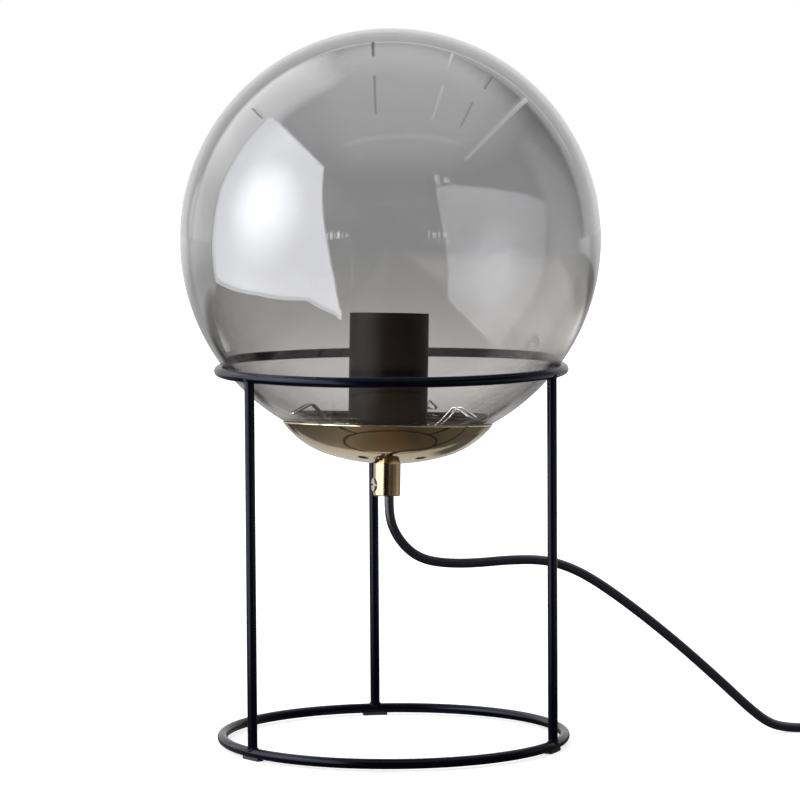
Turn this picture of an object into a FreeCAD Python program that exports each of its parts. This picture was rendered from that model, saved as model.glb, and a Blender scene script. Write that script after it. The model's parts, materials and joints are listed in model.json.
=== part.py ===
import FreeCAD, Part
import math
import os

V = FreeCAD.Vector
UP = V(0, 0, 1)

os.makedirs("parts", exist_ok=True)

# Glass globe table lamp. Millimetres, +Z up. The origin is on the table, under the
# middle of the two steel rings. The viewer looks along +Y, with +X to the right.

# ---- Stand: two rings of round rod, joined by three upright legs ----
RING_RADIUS = 102.5        # centreline of both rings
RING_ROD_DIA = 6.0
LEG_ROD_DIA = 5.8
RING_RISE = 219.8          # from the lower ring's centreline to the upper one's
LEG_COUNT = 3
LEG_PHASE = 96.4           # degrees, azimuth of the leg at the back
PAD_LENGTH = 15.0          # rubber pad under each leg, along the ring
PAD_WIDTH = 4.4
PAD_SOLE = 1.2             # rubber below the ring
PAD_LIP = 0.8              # rubber that wraps up the ring's sides

# ---- Glass globe ----
GLOBE_RADIUS = 125.0
GLASS_TOP_WALL = 2.5
GLASS_SIDE_WALL = 3.5
MOUTH_RADIUS = 62.0        # outer edge of the ground mouth
MOUTH_ROUND = 0.6
SEAT_GAP = 0.3             # between the globe and the ring that it sits in
HEAD_LEAN_BACK = 3.5       # degrees: the globe sits in the ring a little tipped, away
HEAD_LEAN_SIDE = 1.2       # degrees: and to the viewer's right

# ---- Brass bowl that closes the mouth from outside ----
GASKET_THICK = 0.8
GASKET_WIDTH = 4.0
GASKET_EDGE = 0.4          # from the bowl's rim in to the gasket
MOUTH_GAP = 0.1            # between the mouth and the gasket
BOWL_RIM_RADIUS = 62.2
BOWL_DEPTH = 23.8
BOWL_SHEET = 1.0
BOWL_FLOOR_RADIUS = 122.0  # curvature of the floor
BOWL_KNUCKLE_ANGLE = 17.0  # degrees from the axis, where the floor meets the side
FLANGE_WIDTH = 4.6         # the rim's inward flange, under the gasket
VENT_DIA = 6.5
VENT_COUNT = 6
VENT_CIRCLE_RADIUS = 33.7
VENT_PHASE = 5.3           # degrees

# ---- Threaded tube, nuts, washers and the wire clips' plate ----
TUBE_DIA = 10.0
TUBE_BORE = 7.0
TUBE_IN_GRIP = 6.5         # length that screws into the cord grip
TUBE_ABOVE_NUT = 2.0
THREAD_CLEARANCE = 0.05
NUT_FLATS = 14.0
NUT_THICK = 3.0
WASHER_RADIUS = 7.4
WASHER_THICK = 1.0
WASHER_TEETH = 12
WASHER_TOOTH_DEPTH = 1.2
COVER_DROP = 2.2           # from the bowl's rim down to the foot of the holder's cover
PLATE_RADIUS = 25.0
PLATE_THICK = 1.0
PLATE_EAR_REACH = 34.0
PLATE_EAR_WIDTH = 11.0
CLIP_AZIMUTHS = (329.0, 62.0, 195.5)   # degrees
CLIP_WIRE_DIA = 1.5
CLIP_WIDTH = 7.0           # between the clip's two wires
CLIP_BEND = 3.2
CLIP_FOOT_RADIUS = 27.0
CLIP_FOOT_END = 33.5
CLIP_CREST_RADIUS = 47.0
CLIP_CREST_RISE = 13.5     # above the clip's feet
CLIP_GLASS_GAP = 0.35
CLIP_TIP_DROP = 6.3        # from the crest down to the tip

# ---- Cord grip under the bowl ----
GRIP_DIA = 16.1
GRIP_LENGTH = 19.0
GRIP_ROUND = 0.7
GRIP_CORD_BORE = 9.4
GRIP_THREAD_DEPTH = 7.5
SCREW_AZIMUTH = 195.0      # degrees
SCREW_DROP = 12.4          # from the bowl's lowest point down to the screw's axis
SCREW_HEAD_DIA = 8.0
SCREW_HEAD_THICK = 1.8
SCREW_HEAD_CLEARANCE = 0.2
SCREW_SHANK_DIA = 5.0
SCREW_CLEARANCE = 0.05
SCREW_PROUD = 0.5          # head outside the grip's tangent plane
SCREW_SLOT_WIDTH = 1.2
SCREW_SLOT_DEPTH = 1.0
SCREW_CORD_GAP = 0.3
CORD_PUSH = 1.45           # the screw holds the cord this far off the axis

# ---- Lampholder, cap size E27 ----
COVER_DIA = 47.0
COVER_WALL = 1.0
COVER_LENGTH = 67.5
HOLDER_RECESS = 2.0        # insulator's top below the cover's edge
HOLDER_CLEARANCE = 0.1     # insulator in the cover
SHELL_BORE = 26.6
SHELL_WALL = 0.4
SHELL_LENGTH = 26.0
SHELL_RECESS = 3.0         # shell's top below the insulator's top
SHELL_CLEARANCE = 0.1
WEB_THICK = 7.0
SKIRT_WALL = 3.0
SKIRT_LENGTH = 16.0
CONTACT_HEAD_DIA = 8.0
CONTACT_HEAD_THICK = 1.2
CONTACT_SHANK_DIA = 3.6
CONTACT_CLEARANCE = 0.08
CONTACT_TRAVEL = 1.5
CONTACT_TAIL_DIA = 6.0
CONTACT_TAIL_THICK = 0.8
CONTACT_GAP = 0.3          # left over when the contact is pressed home
LEAF_WIDTH = 5.0
LEAF_THICK = 0.4
LEAF_SLOPE = 2.0           # along the web, from the contact's head to where the leaf lies flat
LEAF_REACH = 10.5          # foot of the spring leaf, from the axis
CONTACT_PIT_DEPTH = 4.5    # from the shell's foot down to the web
CONTACT_PIT_GAP = 0.7      # round the spring leaf
SIDE_CONTACT_WIDTH = 5.0
SIDE_CONTACT_THICK = 0.5
SIDE_CONTACT_RISE = 12.0   # up the shell's side, from its foot
TERMINAL_SIZE = 6.0
TERMINAL_HEIGHT = 7.0
TERMINAL_OFFSET = 12.0
TERMINAL_SCREW_DIA = 3.0
TERMINAL_SCREW_HEAD = 4.6
TERMINAL_HEAD_THICK = 1.4
SMALL_SLOT_WIDTH = 0.8     # screwdriver slot of the small screws
SMALL_SLOT_DEPTH = 0.4

# ---- Cord ----
CORD_DIA = 5.7
CORE_DIA = 2.0
CORE_SPREAD = 1.3          # each core's centre from the cord's axis
JACKET_STICKOUT = 1.5      # cord above the threaded tube
JACKET_CENTRED = 1.0       # cord is back on the axis this far below the threaded tube
WIRE_BEND_REACH = 5.4      # where a core turns toward its terminal, from the axis
RUN_SHARE = 0.45           # of a straight run, the most that the arc at its end may take
# Free run from the grip down over the lower ring to the table and the switch.
# The first two points follow from the grip and the last two from the switch.
CORD_FIRST_RUN = 9.0       # straight down out of the grip
CORD_LAST_RUN = 9.0        # straight into the switch
CORD_LEAD_POINTS = [
    (0.2, -9.4, 129.8),
    (6.6, -8.2, 119.4),
    (15.5, -6.6, 112.0),
    (27.0, -4.5, 108.5),
    (46.0, -1.4, 107.4),
    (72.0, 2.8, 109.2),
    (92.0, 6.4, 108.4),
    (108.0, 9.4, 103.0),
    (124.0, 12.4, 93.6),
    (146.0, 16.0, 77.2),
    (172.0, 19.6, 55.6),
    (198.0, 22.2, 31.9),
    (216.0, 23.4, 14.6),
    (228.0, 23.8, 5.4),
    (240.0, 24.2, 2.85),
    (256.0, 25.0, 2.9),
]

# ---- Switch in the cord ----
SWITCH_LENGTH = 60.0
SWITCH_WIDTH = 26.0
SWITCH_HEIGHT = 17.0
SWITCH_SPLIT = 7.6         # height of the joint between base and cover
SWITCH_WALL = 1.6
SWITCH_CORNER = 6.0
SWITCH_INLET_X = 284.0
SWITCH_Y = 26.0
SWITCH_CORD_Z = 7.6
SWITCH_CORD_CLEARANCE = 0.15
SWITCH_CORD_GRIP = 6.0     # cord inside the switch's end
SWITCH_CORE_SINK = 4.4     # from the cord's axis down to its cores inside
SWITCH_NEUTRAL_Y = -3.6    # the core that passes straight through
ROCKER_RADIUS = 8.6
ROCKER_WIDTH = 11.0
ROCKER_PIN_DIA = 3.0
ROCKER_PIN_LENGTH = 2.0
ROCKER_PIN_CLEARANCE = 0.06
ROCKER_AXIS_Z = 11.2
ROCKER_CLEARANCE = 0.4
ROCKER_VALLEY = 5.8        # from the pin's axis up to the rocker's valley
ROCKER_TILT = 9.0          # degrees, each half of its throw
ROCKER_EAR_THICK = 1.8
SWITCH_SCREW_DIA = 3.0
SWITCH_SCREW_HEAD = 5.2
SWITCH_SCREW_INSET = 9.0   # from the switch's end
SWITCH_SCREW_SPREAD = 15.0  # across the switch, between two screws
SWITCH_SCREW_CLEARANCE = 0.05
SWITCH_CONTACT_SIZE = 4.0

# ---- Coil of spare cord and the plug ----
COIL_INNER_RADIUS = 22.0
COIL_PITCH = 7.2           # from one turn to the next
COIL_TURNS = 3             # in each of the two layers
COIL_LAYER_RISE = 6.6
COIL_CLIMB_TURNS = 0.5     # from the lower layer up to the upper one
COIL_START_X = 386.0
COIL_END_STRAIGHT = CORD_DIA
TAIL_END_RUN = 12.0        # straight out of the coil, and straight into the plug
PLUG_INSET = 1.0           # the plug's middle, in from the coil's far side
PLUG_CORD_X = 337.0
PLUG_CORD_Z = 6.9
PLUG_BODY_LENGTH = 36.0
PLUG_WAIST = 16.2          # from the plug's face to where its sides draw in
PLUG_BODY_WIDTH = 35.3
PLUG_BACK_WIDTH = 15.0
PLUG_BODY_THICK = 13.7
PLUG_ROUND = 3.0
PLUG_PIN_DIA = 4.0
PLUG_PIN_LENGTH = 19.0
PLUG_PIN_SPACING = 18.6
PLUG_PIN_ROUND = 1.2
PLUG_PIN_ROOT_DIA = 3.2    # thinner part, buried in the plug's body
PLUG_PIN_DEPTH = 10.0
PLUG_PIN_CLEARANCE = 0.02
RELIEF_LENGTH = 22.0
RELIEF_DIA = 9.0
RELIEF_TIP_DIA = 7.2
RELIEF_GROOVES = 4
RELIEF_GROOVE_WIDTH = 1.2
RELIEF_GROOVE_DEPTH = 0.9
RELIEF_WALL = 0.4          # rubber left under a groove

# ---- Heights and places that follow from the sizes above ----
ROD_RADIUS = RING_ROD_DIA / 2
LOW_RING_Z = PAD_SOLE + ROD_RADIUS
HIGH_RING_Z = LOW_RING_Z + RING_RISE
SEAT_DISTANCE = GLOBE_RADIUS + ROD_RADIUS + SEAT_GAP
GLOBE_Z = HIGH_RING_Z + math.sqrt(SEAT_DISTANCE**2 - RING_RADIUS**2)
MOUTH_Z = -math.sqrt(GLOBE_RADIUS**2 - MOUTH_RADIUS**2)
GLASS_INNER_RADIUS = GLOBE_RADIUS - GLASS_SIDE_WALL
GLASS_INNER_Z = GLASS_SIDE_WALL - GLASS_TOP_WALL
BOWL_RIM_Z = MOUTH_Z - MOUTH_GAP - GASKET_THICK
BOWL_LOW_Z = BOWL_RIM_Z - BOWL_DEPTH
TUBE_RADIUS = TUBE_DIA / 2
THREAD_HOLE = TUBE_RADIUS + THREAD_CLEARANCE
CORD_RADIUS = CORD_DIA / 2
GRIP_LOW_Z = BOWL_LOW_Z - GRIP_LENGTH
HEAD_TURN = FreeCAD.Rotation(V(0, 1, 0), HEAD_LEAN_SIDE).multiply(
    FreeCAD.Rotation(V(1, 0, 0), -HEAD_LEAN_BACK))
HEAD_SEAT = FreeCAD.Placement(V(0, 0, GLOBE_Z), HEAD_TURN)


def on_globe_axis(x, y, z):
    """A point of the tipped head, measured from the globe's centre, in the row's frame."""
    return HEAD_SEAT.multVec(V(x, y, z))


def tip_head(shape):
    """Tip a head piece, modelled upright about the globe's centre, into its seat."""
    placed = shape.copy()
    placed.Placement = HEAD_SEAT.multiply(placed.Placement)
    return placed


def save(name, shape):
    """Write one sub-part and print what it is made of."""
    shape.exportStep("parts/" + name + ".step")
    print(f"{name:20s} solids {len(shape.Solids):2d}  volume {shape.Volume:10.1f}"
          f"  valid {shape.isValid()}")


def disc(radius, low, high, x=0.0, y=0.0):
    return Part.makeCylinder(radius, high - low, V(x, y, low), UP)


def pipe(outer, inner, low, high):
    return disc(outer, low, high).cut(disc(inner, low, high))


def ring(radius, height, rod_radius=ROD_RADIUS):
    return Part.makeTorus(radius, rod_radius, V(0, 0, height), UP)


def block(x0, x1, y0, y1, z0, z1):
    return Part.makeBox(x1 - x0, y1 - y0, z1 - z0, V(x0, y0, z0))


def turned(shape, degrees):
    """A copy turned about the upright axis through the origin."""
    copy = shape.copy()
    copy.rotate(V(0, 0, 0), UP, degrees)
    return copy


def polar(radius, degrees, z=0.0):
    angle = math.radians(degrees)
    return V(radius * math.cos(angle), radius * math.sin(angle), z)


def hexagon(flats, low, high, hole):
    corner = flats / math.sqrt(3)
    corners = [polar(corner, 60 * k, low) for k in range(7)]
    face = Part.Face(Part.makePolygon(corners))
    return face.extrude(V(0, 0, high - low)).cut(disc(hole, low, high))


def cut_all(shape, tools):
    for tool in tools:
        shape = shape.cut(tool)
    return shape


# ---- Rods and cords: straight runs joined by tangent arcs ----

def tangent_path(points, bend=None):
    """Edges of straight runs joined by arcs: of radius bend, or as wide as the runs allow."""
    edges, radii = [], []
    start = points[0]
    for before, corner, after in zip(points, points[1:], points[2:]):
        into = (corner - before).normalize()
        out = (after - corner).normalize()
        half_turn = into.getAngle(out) / 2
        reach = RUN_SHARE * min((corner - before).Length, (after - corner).Length)
        radius = reach / math.tan(half_turn)
        if bend is not None:
            radius = min(radius, bend)
        reach = radius * math.tan(half_turn)
        first = corner - into * reach
        last = corner + out * reach
        bisector = (out - into).normalize()
        middle = corner + bisector * (radius / math.cos(half_turn) - radius)
        edges.append(Part.LineSegment(start, first).toShape())
        edges.append(Part.Arc(first, middle, last).toShape())
        radii.append(radius)
        start = last
    edges.append(Part.LineSegment(start, points[-1]).toShape())
    return edges, radii


def sweep(edges, diameter, start, heading):
    """A round solid along the edges."""
    section = Part.Wire(Part.Circle(start, heading, diameter / 2).toShape())
    return Part.Wire(edges).makePipeShell([section], True, False)


def bent_rod(points, diameter, bend=None):
    edges = tangent_path(points, bend)[0]
    return sweep(edges, diameter, points[0], points[1] - points[0])


def cord_tube(name, points):
    """A free stretch of cord, with its radii and its volume against section times length."""
    edges, radii = tangent_path(points)
    tube = sweep(edges, CORD_DIA, points[0], points[1] - points[0])
    length = sum(edge.Length for edge in edges)
    share = tube.Volume / (math.pi * CORD_RADIUS**2 * length)
    print(f"{name}: length {length:.1f}, volume ratio {share:.4f}, radii "
          + " ".join(f"{radius:.0f}" for radius in radii))
    save(name, tube)
    return length


# ---- Stand ----

def leg_azimuths():
    return [LEG_PHASE + 360.0 / LEG_COUNT * k for k in range(LEG_COUNT)]


def make_stand():
    low = ring(RING_RADIUS, LOW_RING_Z)
    high = ring(RING_RADIUS, HIGH_RING_Z)
    save("bottom_ring", low)
    save("top_ring", high)
    names = ("back", "front_left", "front_right")
    for name, azimuth in zip(names, leg_azimuths()):
        foot = polar(RING_RADIUS, azimuth)
        rod = disc(LEG_ROD_DIA / 2, LOW_RING_Z, HIGH_RING_Z, foot.x, foot.y)
        save("leg_" + name, rod.cut(low).cut(high))
        save("foot_pad_" + name, make_pad(azimuth))


def make_pad(azimuth):
    """A rubber pad that follows the ring and wraps a little up its sides."""
    span = math.degrees(PAD_LENGTH / RING_RADIUS)
    inner = RING_RADIUS - PAD_WIDTH / 2
    outer = RING_RADIUS + PAD_WIDTH / 2
    top = PAD_SOLE + PAD_LIP
    corners = [V(inner, 0, 0), V(outer, 0, 0), V(outer, 0, top), V(inner, 0, top), V(inner, 0, 0)]
    pad = Part.Face(Part.makePolygon(corners)).revolve(V(0, 0, 0), UP, span)
    return turned(pad, azimuth - span / 2).cut(ring(RING_RADIUS, LOW_RING_Z))


# ---- Globe ----

def make_globe():
    outer = Part.makeSphere(GLOBE_RADIUS)
    inner = Part.makeSphere(GLASS_INNER_RADIUS, V(0, 0, GLASS_INNER_Z))
    below = disc(GLOBE_RADIUS, -2 * GLOBE_RADIUS, MOUTH_Z)
    globe = outer.cut(inner).cut(below)
    rim = [edge for edge in globe.Edges
           if edge.BoundBox.ZMax < MOUTH_Z + 0.01 and edge.Length > GLOBE_RADIUS]
    save("glass_globe", tip_head(globe.makeFillet(MOUTH_ROUND, rim)))


# ---- Bowl ----

def side_arc():
    """Radius of the arc from the knuckle to the rim, and the knuckle's place and normal."""
    angle = math.radians(BOWL_KNUCKLE_ANGLE)
    normal = V(math.sin(angle), 0, -math.cos(angle))
    join = V(0, 0, BOWL_LOW_Z + BOWL_FLOOR_RADIUS) + normal * BOWL_FLOOR_RADIUS
    to_rim = V(BOWL_RIM_RADIUS, 0, BOWL_RIM_Z) - join
    return -to_rim.dot(to_rim) / (2 * to_rim.dot(normal)), join, normal


def bowl_form(inset, top):
    """Solid inside the bowl's surface moved in by inset, up to the height top."""
    side, join, normal = side_arc()
    centre = join - normal * side
    floor_centre = V(0, 0, BOWL_LOW_Z + BOWL_FLOOR_RADIUS)

    def on_arc(middle, radius, angle):
        return middle + V(math.sin(angle), 0, -math.cos(angle)) * (radius - inset)

    knuckle = math.radians(BOWL_KNUCKLE_ANGLE)
    top_angle = math.acos((centre.z - top) / (side - inset))
    low = on_arc(floor_centre, BOWL_FLOOR_RADIUS, 0.0)
    floor_middle = on_arc(floor_centre, BOWL_FLOOR_RADIUS, knuckle / 2)
    meet = on_arc(floor_centre, BOWL_FLOOR_RADIUS, knuckle)
    side_middle = on_arc(centre, side, (knuckle + top_angle) / 2)
    edge = on_arc(centre, side, top_angle)
    axis_top = V(0, 0, top)
    outline = Part.Wire([
        Part.Arc(low, floor_middle, meet).toShape(),
        Part.Arc(meet, side_middle, edge).toShape(),
        Part.LineSegment(edge, axis_top).toShape(),
        Part.LineSegment(axis_top, low).toShape(),
    ])
    return Part.Face(outline).revolve(V(0, 0, 0), UP, 360)


def bowl_floor(radius, inset=0.0):
    """Height of the bowl's floor at a radius, on its outside or inset from it."""
    centre = BOWL_LOW_Z + BOWL_FLOOR_RADIUS
    return centre - math.sqrt((BOWL_FLOOR_RADIUS - inset)**2 - radius**2)


def make_bowl():
    bowl = bowl_form(0.0, BOWL_RIM_Z).cut(bowl_form(BOWL_SHEET, BOWL_RIM_Z - BOWL_SHEET))
    opening = BOWL_RIM_RADIUS - FLANGE_WIDTH
    bowl = bowl.cut(disc(opening, BOWL_RIM_Z - 2 * BOWL_SHEET, BOWL_RIM_Z + BOWL_SHEET))
    bowl = bowl.cut(disc(THREAD_HOLE, BOWL_LOW_Z - BOWL_SHEET, BOWL_LOW_Z + 3 * BOWL_SHEET))
    centre = V(0, 0, BOWL_LOW_Z + BOWL_FLOOR_RADIUS)
    for k in range(VENT_COUNT):
        azimuth = VENT_PHASE + 360.0 / VENT_COUNT * k
        mouth = polar(VENT_CIRCLE_RADIUS, azimuth, bowl_floor(VENT_CIRCLE_RADIUS))
        inward = (centre - mouth).normalize()
        start = mouth - inward * BOWL_SHEET
        bowl = bowl.cut(Part.makeCylinder(VENT_DIA / 2, 3 * BOWL_SHEET, start, inward))
    save("brass_bowl", tip_head(bowl))
    gasket_outer = BOWL_RIM_RADIUS - GASKET_EDGE
    gasket = pipe(gasket_outer, gasket_outer - GASKET_WIDTH,
                  BOWL_RIM_Z, BOWL_RIM_Z + GASKET_THICK)
    save("rim_gasket", tip_head(gasket))


# ---- Stack on the threaded tube, from the grip up ----
WASHER_LOW = bowl_floor(WASHER_RADIUS, BOWL_SHEET)
BOWL_NUT_LOW = WASHER_LOW + WASHER_THICK
COVER_LOW = BOWL_RIM_Z - COVER_DROP
COVER_TOP = COVER_LOW + COVER_LENGTH
PLATE_LOW = COVER_LOW - PLATE_THICK
LOCK_NUT_LOW = PLATE_LOW - NUT_THICK
HOLDER_NUT_LOW = COVER_LOW + COVER_WALL
TUBE_HIGH = HOLDER_NUT_LOW + NUT_THICK + TUBE_ABOVE_NUT
TUBE_LOW = BOWL_LOW_Z - TUBE_IN_GRIP


def make_stack():
    save("threaded_tube", tip_head(pipe(TUBE_RADIUS, TUBE_BORE / 2, TUBE_LOW, TUBE_HIGH)))
    washer = pipe(WASHER_RADIUS, THREAD_HOLE, WASHER_LOW, BOWL_NUT_LOW)
    for k in range(WASHER_TEETH):
        gap = block(WASHER_RADIUS - WASHER_TOOTH_DEPTH, WASHER_RADIUS + 1,
                    -WASHER_TOOTH_DEPTH / 2, WASHER_TOOTH_DEPTH / 2, WASHER_LOW, BOWL_NUT_LOW)
        washer = washer.cut(turned(gap, 360.0 / WASHER_TEETH * k))
    save("toothed_washer", tip_head(washer))
    for name, low in (("bowl_nut", BOWL_NUT_LOW), ("lock_nut", LOCK_NUT_LOW),
                      ("holder_nut", HOLDER_NUT_LOW)):
        save(name, tip_head(hexagon(NUT_FLATS, low, low + NUT_THICK, THREAD_HOLE)))
    plate = disc(PLATE_RADIUS, PLATE_LOW, COVER_LOW)
    for azimuth in CLIP_AZIMUTHS:
        ear = block(0, PLATE_EAR_REACH, -PLATE_EAR_WIDTH / 2, PLATE_EAR_WIDTH / 2,
                    PLATE_LOW, COVER_LOW)
        plate = plate.fuse(turned(ear, azimuth))
    plate = plate.removeSplitter().cut(disc(THREAD_HOLE, PLATE_LOW, COVER_LOW))
    save("clip_plate", tip_head(plate))


def make_clips():
    """Hairpins of spring wire that press on the glass just above its mouth."""
    foot_z = COVER_LOW + CLIP_WIRE_DIA / 2
    crest_z = foot_z + CLIP_CREST_RISE
    tip_z = crest_z - CLIP_TIP_DROP
    reach = GLASS_INNER_RADIUS - CLIP_GLASS_GAP - CLIP_WIRE_DIA / 2
    tip_radius = math.sqrt(reach**2 - (tip_z - GLASS_INNER_Z)**2 - (CLIP_WIDTH / 4)**2)
    side = [(CLIP_FOOT_RADIUS, foot_z), (CLIP_FOOT_END, foot_z),
            (CLIP_CREST_RADIUS, crest_z), (tip_radius, tip_z)]
    near = [V(r, -CLIP_WIDTH / 2, z) for r, z in side]
    far = [V(r, CLIP_WIDTH / 2, z) for r, z in reversed(side)]
    clip = bent_rod(near + far, CLIP_WIRE_DIA, CLIP_BEND)
    for k, azimuth in enumerate(CLIP_AZIMUTHS, 1):
        save(f"spring_clip_{k}", tip_head(turned(clip, azimuth)))


# ---- Cord grip and its screw ----
SCREW_Z = BOWL_LOW_Z - SCREW_DROP
CORD_EXIT = polar(CORD_PUSH, SCREW_AZIMUTH + 180, GRIP_LOW_Z)


def inner_cord_points():
    """The cord's way from the grip's mouth, past the screw, up the tube's axis."""
    off = polar(CORD_PUSH, SCREW_AZIMUTH + 180)
    straight = GRIP_LOW_Z + CORD_DIA / 2
    return [V(off.x, off.y, GRIP_LOW_Z), V(off.x, off.y, straight),
            V(0, 0, TUBE_LOW - JACKET_CENTRED), V(0, 0, TUBE_HIGH + JACKET_STICKOUT)]


def make_grip():
    outward = polar(1.0, SCREW_AZIMUTH)
    grip = disc(GRIP_DIA / 2, GRIP_LOW_Z, BOWL_LOW_Z + BOWL_SHEET)
    low_edge = [edge for edge in grip.Edges if edge.BoundBox.ZMax < GRIP_LOW_Z + 0.01]
    grip = grip.makeFillet(GRIP_ROUND, low_edge)
    grip = grip.cut(bowl_form(0.0, BOWL_RIM_Z))
    grip = grip.cut(disc(GRIP_CORD_BORE / 2, GRIP_LOW_Z - 1, BOWL_LOW_Z))
    grip = grip.cut(disc(THREAD_HOLE, BOWL_LOW_Z - GRIP_THREAD_DEPTH, BOWL_LOW_Z + 2))
    seat = GRIP_DIA / 2 + SCREW_PROUD - SCREW_HEAD_THICK
    counterbore = Part.makeCylinder(SCREW_HEAD_DIA / 2 + SCREW_HEAD_CLEARANCE, GRIP_DIA,
                                    V(0, 0, SCREW_Z) + outward * seat, outward)
    hole = Part.makeCylinder(SCREW_SHANK_DIA / 2 + SCREW_CLEARANCE, GRIP_DIA,
                             V(0, 0, SCREW_Z), outward)
    save("cord_grip", tip_head(cut_all(grip, [counterbore, hole])))

    tip = cord_side_at(SCREW_Z + SCREW_SHANK_DIA / 2) + SCREW_CORD_GAP
    shank = Part.makeCylinder(SCREW_SHANK_DIA / 2, seat - tip,
                              V(0, 0, SCREW_Z) + outward * tip, outward)
    head = Part.makeCylinder(SCREW_HEAD_DIA / 2, SCREW_HEAD_THICK,
                             V(0, 0, SCREW_Z) + outward * seat, outward)
    slot = block(seat + SCREW_HEAD_THICK - SCREW_SLOT_DEPTH, seat + GRIP_DIA,
                 -SCREW_HEAD_DIA, SCREW_HEAD_DIA,
                 SCREW_Z - SCREW_SLOT_WIDTH / 2, SCREW_Z + SCREW_SLOT_WIDTH / 2)
    screw = shank.fuse(head).cut(turned(slot, SCREW_AZIMUTH)).removeSplitter()
    save("cord_clamp_screw", tip_head(screw))


def cord_side_at(height):
    """How far from the axis the cord's side lies, toward the screw."""
    low, high = inner_cord_points()[1:3]
    share = (height - low.z) / (high.z - low.z)
    return CORD_RADIUS - CORD_PUSH * (1 - min(max(share, 0.0), 1.0))


# ---- Lampholder ----
HOLDER_TOP = COVER_TOP - HOLDER_RECESS
SHELL_TOP = HOLDER_TOP - SHELL_RECESS
SHELL_LOW = SHELL_TOP - SHELL_LENGTH
WEB_TOP = SHELL_LOW - CONTACT_PIT_DEPTH
WEB_LOW = WEB_TOP - WEB_THICK
SKIRT_LOW = WEB_LOW - SKIRT_LENGTH
HOLDER_RADIUS = COVER_DIA / 2 - COVER_WALL - HOLDER_CLEARANCE
SHELL_OUTER = SHELL_BORE / 2 + SHELL_WALL
CONTACT_UNDER_HEAD = CONTACT_TRAVEL + CONTACT_GAP + LEAF_THICK


def make_holder():
    cover = disc(COVER_DIA / 2, COVER_LOW, COVER_TOP)
    cover = cover.cut(disc(COVER_DIA / 2 - COVER_WALL, COVER_LOW + COVER_WALL, COVER_TOP))
    save("holder_cover", tip_head(cover.cut(disc(THREAD_HOLE, COVER_LOW, COVER_TOP))))

    collar = pipe(HOLDER_RADIUS, SHELL_OUTER + SHELL_CLEARANCE, SHELL_LOW, HOLDER_TOP)
    save("lampholder_body", tip_head(collar.cut(side_contact_slot())))

    base = disc(HOLDER_RADIUS, SKIRT_LOW, SHELL_LOW)
    base = base.cut(disc(LEAF_REACH + CONTACT_PIT_GAP, WEB_TOP, SHELL_LOW))
    base = base.cut(disc(HOLDER_RADIUS - SKIRT_WALL, SKIRT_LOW, WEB_LOW))
    base = base.cut(disc(CONTACT_SHANK_DIA / 2 + CONTACT_CLEARANCE, WEB_LOW, WEB_TOP))
    base = base.cut(side_contact_slot())
    for sign in (-1, 1):
        base = base.cut(terminal_screw_hole(sign))
    save("lampholder_base", tip_head(base))
    foot = pipe(HOLDER_RADIUS, HOLDER_RADIUS - SKIRT_WALL, COVER_LOW + COVER_WALL, SKIRT_LOW)
    save("holder_spacer", tip_head(foot))

    shell = pipe(SHELL_OUTER, SHELL_BORE / 2, SHELL_LOW, SHELL_TOP)
    save("screw_shell", tip_head(shell))


def side_contact_slot():
    half = SIDE_CONTACT_WIDTH / 2 + SHELL_CLEARANCE
    depth = SHELL_OUTER + SIDE_CONTACT_THICK + SHELL_CLEARANCE
    inner = SHELL_OUTER - SHELL_CLEARANCE
    return block(-depth, -inner, -half, half, WEB_LOW, SHELL_LOW + SIDE_CONTACT_RISE)


def terminal_screw_hole(sign):
    """Way for the screw that draws a terminal block up under the web."""
    return disc(TERMINAL_SCREW_DIA / 2 + THREAD_CLEARANCE, WEB_LOW, WEB_LOW + WEB_THICK / 2,
                sign * TERMINAL_OFFSET)


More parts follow.
